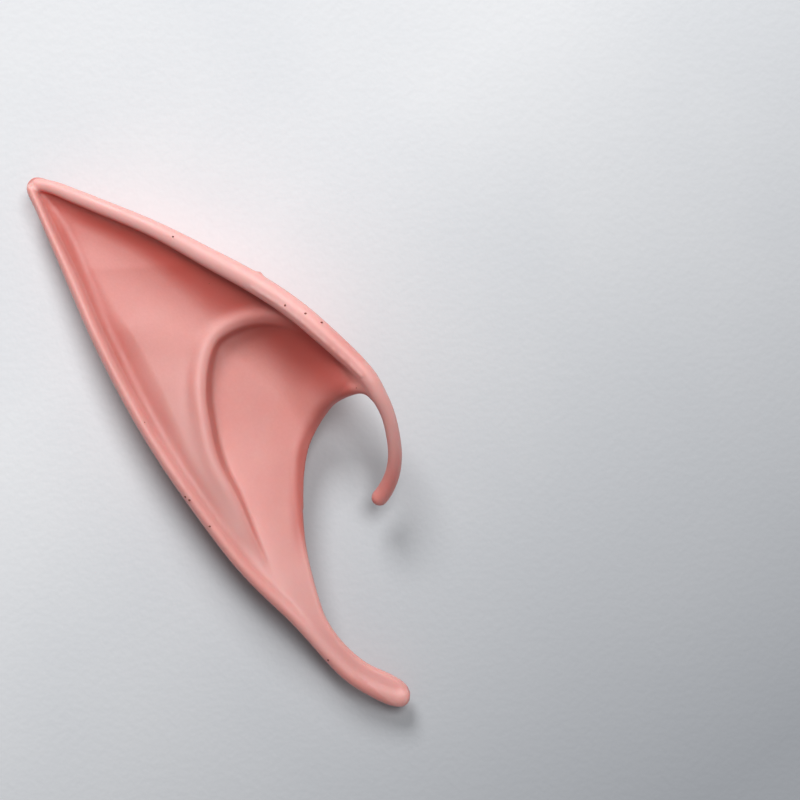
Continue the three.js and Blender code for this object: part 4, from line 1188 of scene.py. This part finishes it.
# %% Floor
FLOOR_SIZE = 1600
FLOOR_LIGHT = (0.80, 0.81, 0.83)
FLOOR_CLOUD = (0.77, 0.785, 0.81)
FLOOR_SHADED = (0.34, 0.355, 0.38)
SHADE_DIRECTION = (0.75, -0.95, 0.0)
SHADE_STARTS = -30
SHADE_ENDS = 120

floor_corners = np.array([(-1, -1, 0), (1, -1, 0), (1, 1, 0), (-1, 1, 0)]) * FLOOR_SIZE / 2 * MM
floor = mesh_object("floor", floor_corners, [(0, 1, 2, 3)])
tree, shader, pattern, paper = new_material(
    "pale_floor", FLOOR_LIGHT, FLOOR_CLOUD, (45.0, 1.2), (1.0, 0.06), (0.85, 0.95), 0.05)
# Painted shade: the floor's colour darkens towards the lower right, standing in for the light falling
# off.
where = add_node(tree, "ShaderNodeTexCoord")
towards = add_node(tree, "ShaderNodeVectorMath", {0: where.outputs["Object"], 1: SHADE_DIRECTION},
                   operation="DOT_PRODUCT")
falling = add_node(tree, "ShaderNodeMapRange", {
    "From Min": SHADE_STARTS * MM, "From Max": SHADE_ENDS * MM, "Value": towards.outputs["Value"]})
away = mix_tones(tree, falling.outputs["Result"], pattern.outputs["Tone"], (*FLOOR_SHADED, 1))
tree.links.new(away, shader.inputs["Base Color"])
floor.data.materials.append(paper)

# %% Camera
PHOTO_PIXELS = 800
PIXELS_PER_MM = 6.0
EAR_CENTRE_PIXEL = (218.0, 443.0)
CAMERA_HEIGHT = 360.0
FOCUS_LEVEL = 8.0
SENSOR_WIDTH = 36
across, down = EAR_CENTRE_PIXEL
view_centre = np.array([PHOTO_PIXELS / 2 - across, down - PHOTO_PIXELS / 2]) / PIXELS_PER_MM
camera_data = bpy.data.cameras.new("overhead")
camera = bpy.data.objects.new("overhead", camera_data)
bpy.context.scene.collection.objects.link(camera)
camera.location = (view_centre[0] * MM, view_centre[1] * MM, CAMERA_HEIGHT * MM)
view_width = PHOTO_PIXELS / PIXELS_PER_MM
camera_data.sensor_width = SENSOR_WIDTH
camera_data.lens = SENSOR_WIDTH * (CAMERA_HEIGHT - FOCUS_LEVEL) / view_width
camera_data.clip_start = 0.01
bpy.context.scene.camera = camera
print("lens", round(camera_data.lens, 1))

# %% Lights
LAMP_SIZE = 620
LAMPS = [("window", (-297, 1110, 964), 15.3), ("ceiling_lamp", (294, 420, 1410), 10.4)]
ROOM_TONE = (0.95, 0.97, 1, 1)
ROOM_STRENGTH = 0.14

for name, place, power in LAMPS:
    data = bpy.data.lights.new(name, "AREA")
    data.shape = "DISK"
    data.size = LAMP_SIZE * MM
    data.energy = power
    light = bpy.data.objects.new(name, data)
    bpy.context.scene.collection.objects.link(light)
    light.location = Vector(place) * MM
    light.rotation_euler = (-Vector(place)).to_track_quat("-Z", "Y").to_euler()
world = bpy.data.worlds.new("room")
world.use_nodes = True
fill(world.node_tree, world.node_tree.nodes["Background"],
     {"Color": ROOM_TONE, "Strength": ROOM_STRENGTH})
bpy.context.scene.world = world
bpy.context.scene.view_settings.view_transform = "Standard"
print(len(LAMPS), "lamps")

# %% Hand over to the frame
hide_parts("ear_shell")
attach(shell, "root")
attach(specks, "root")
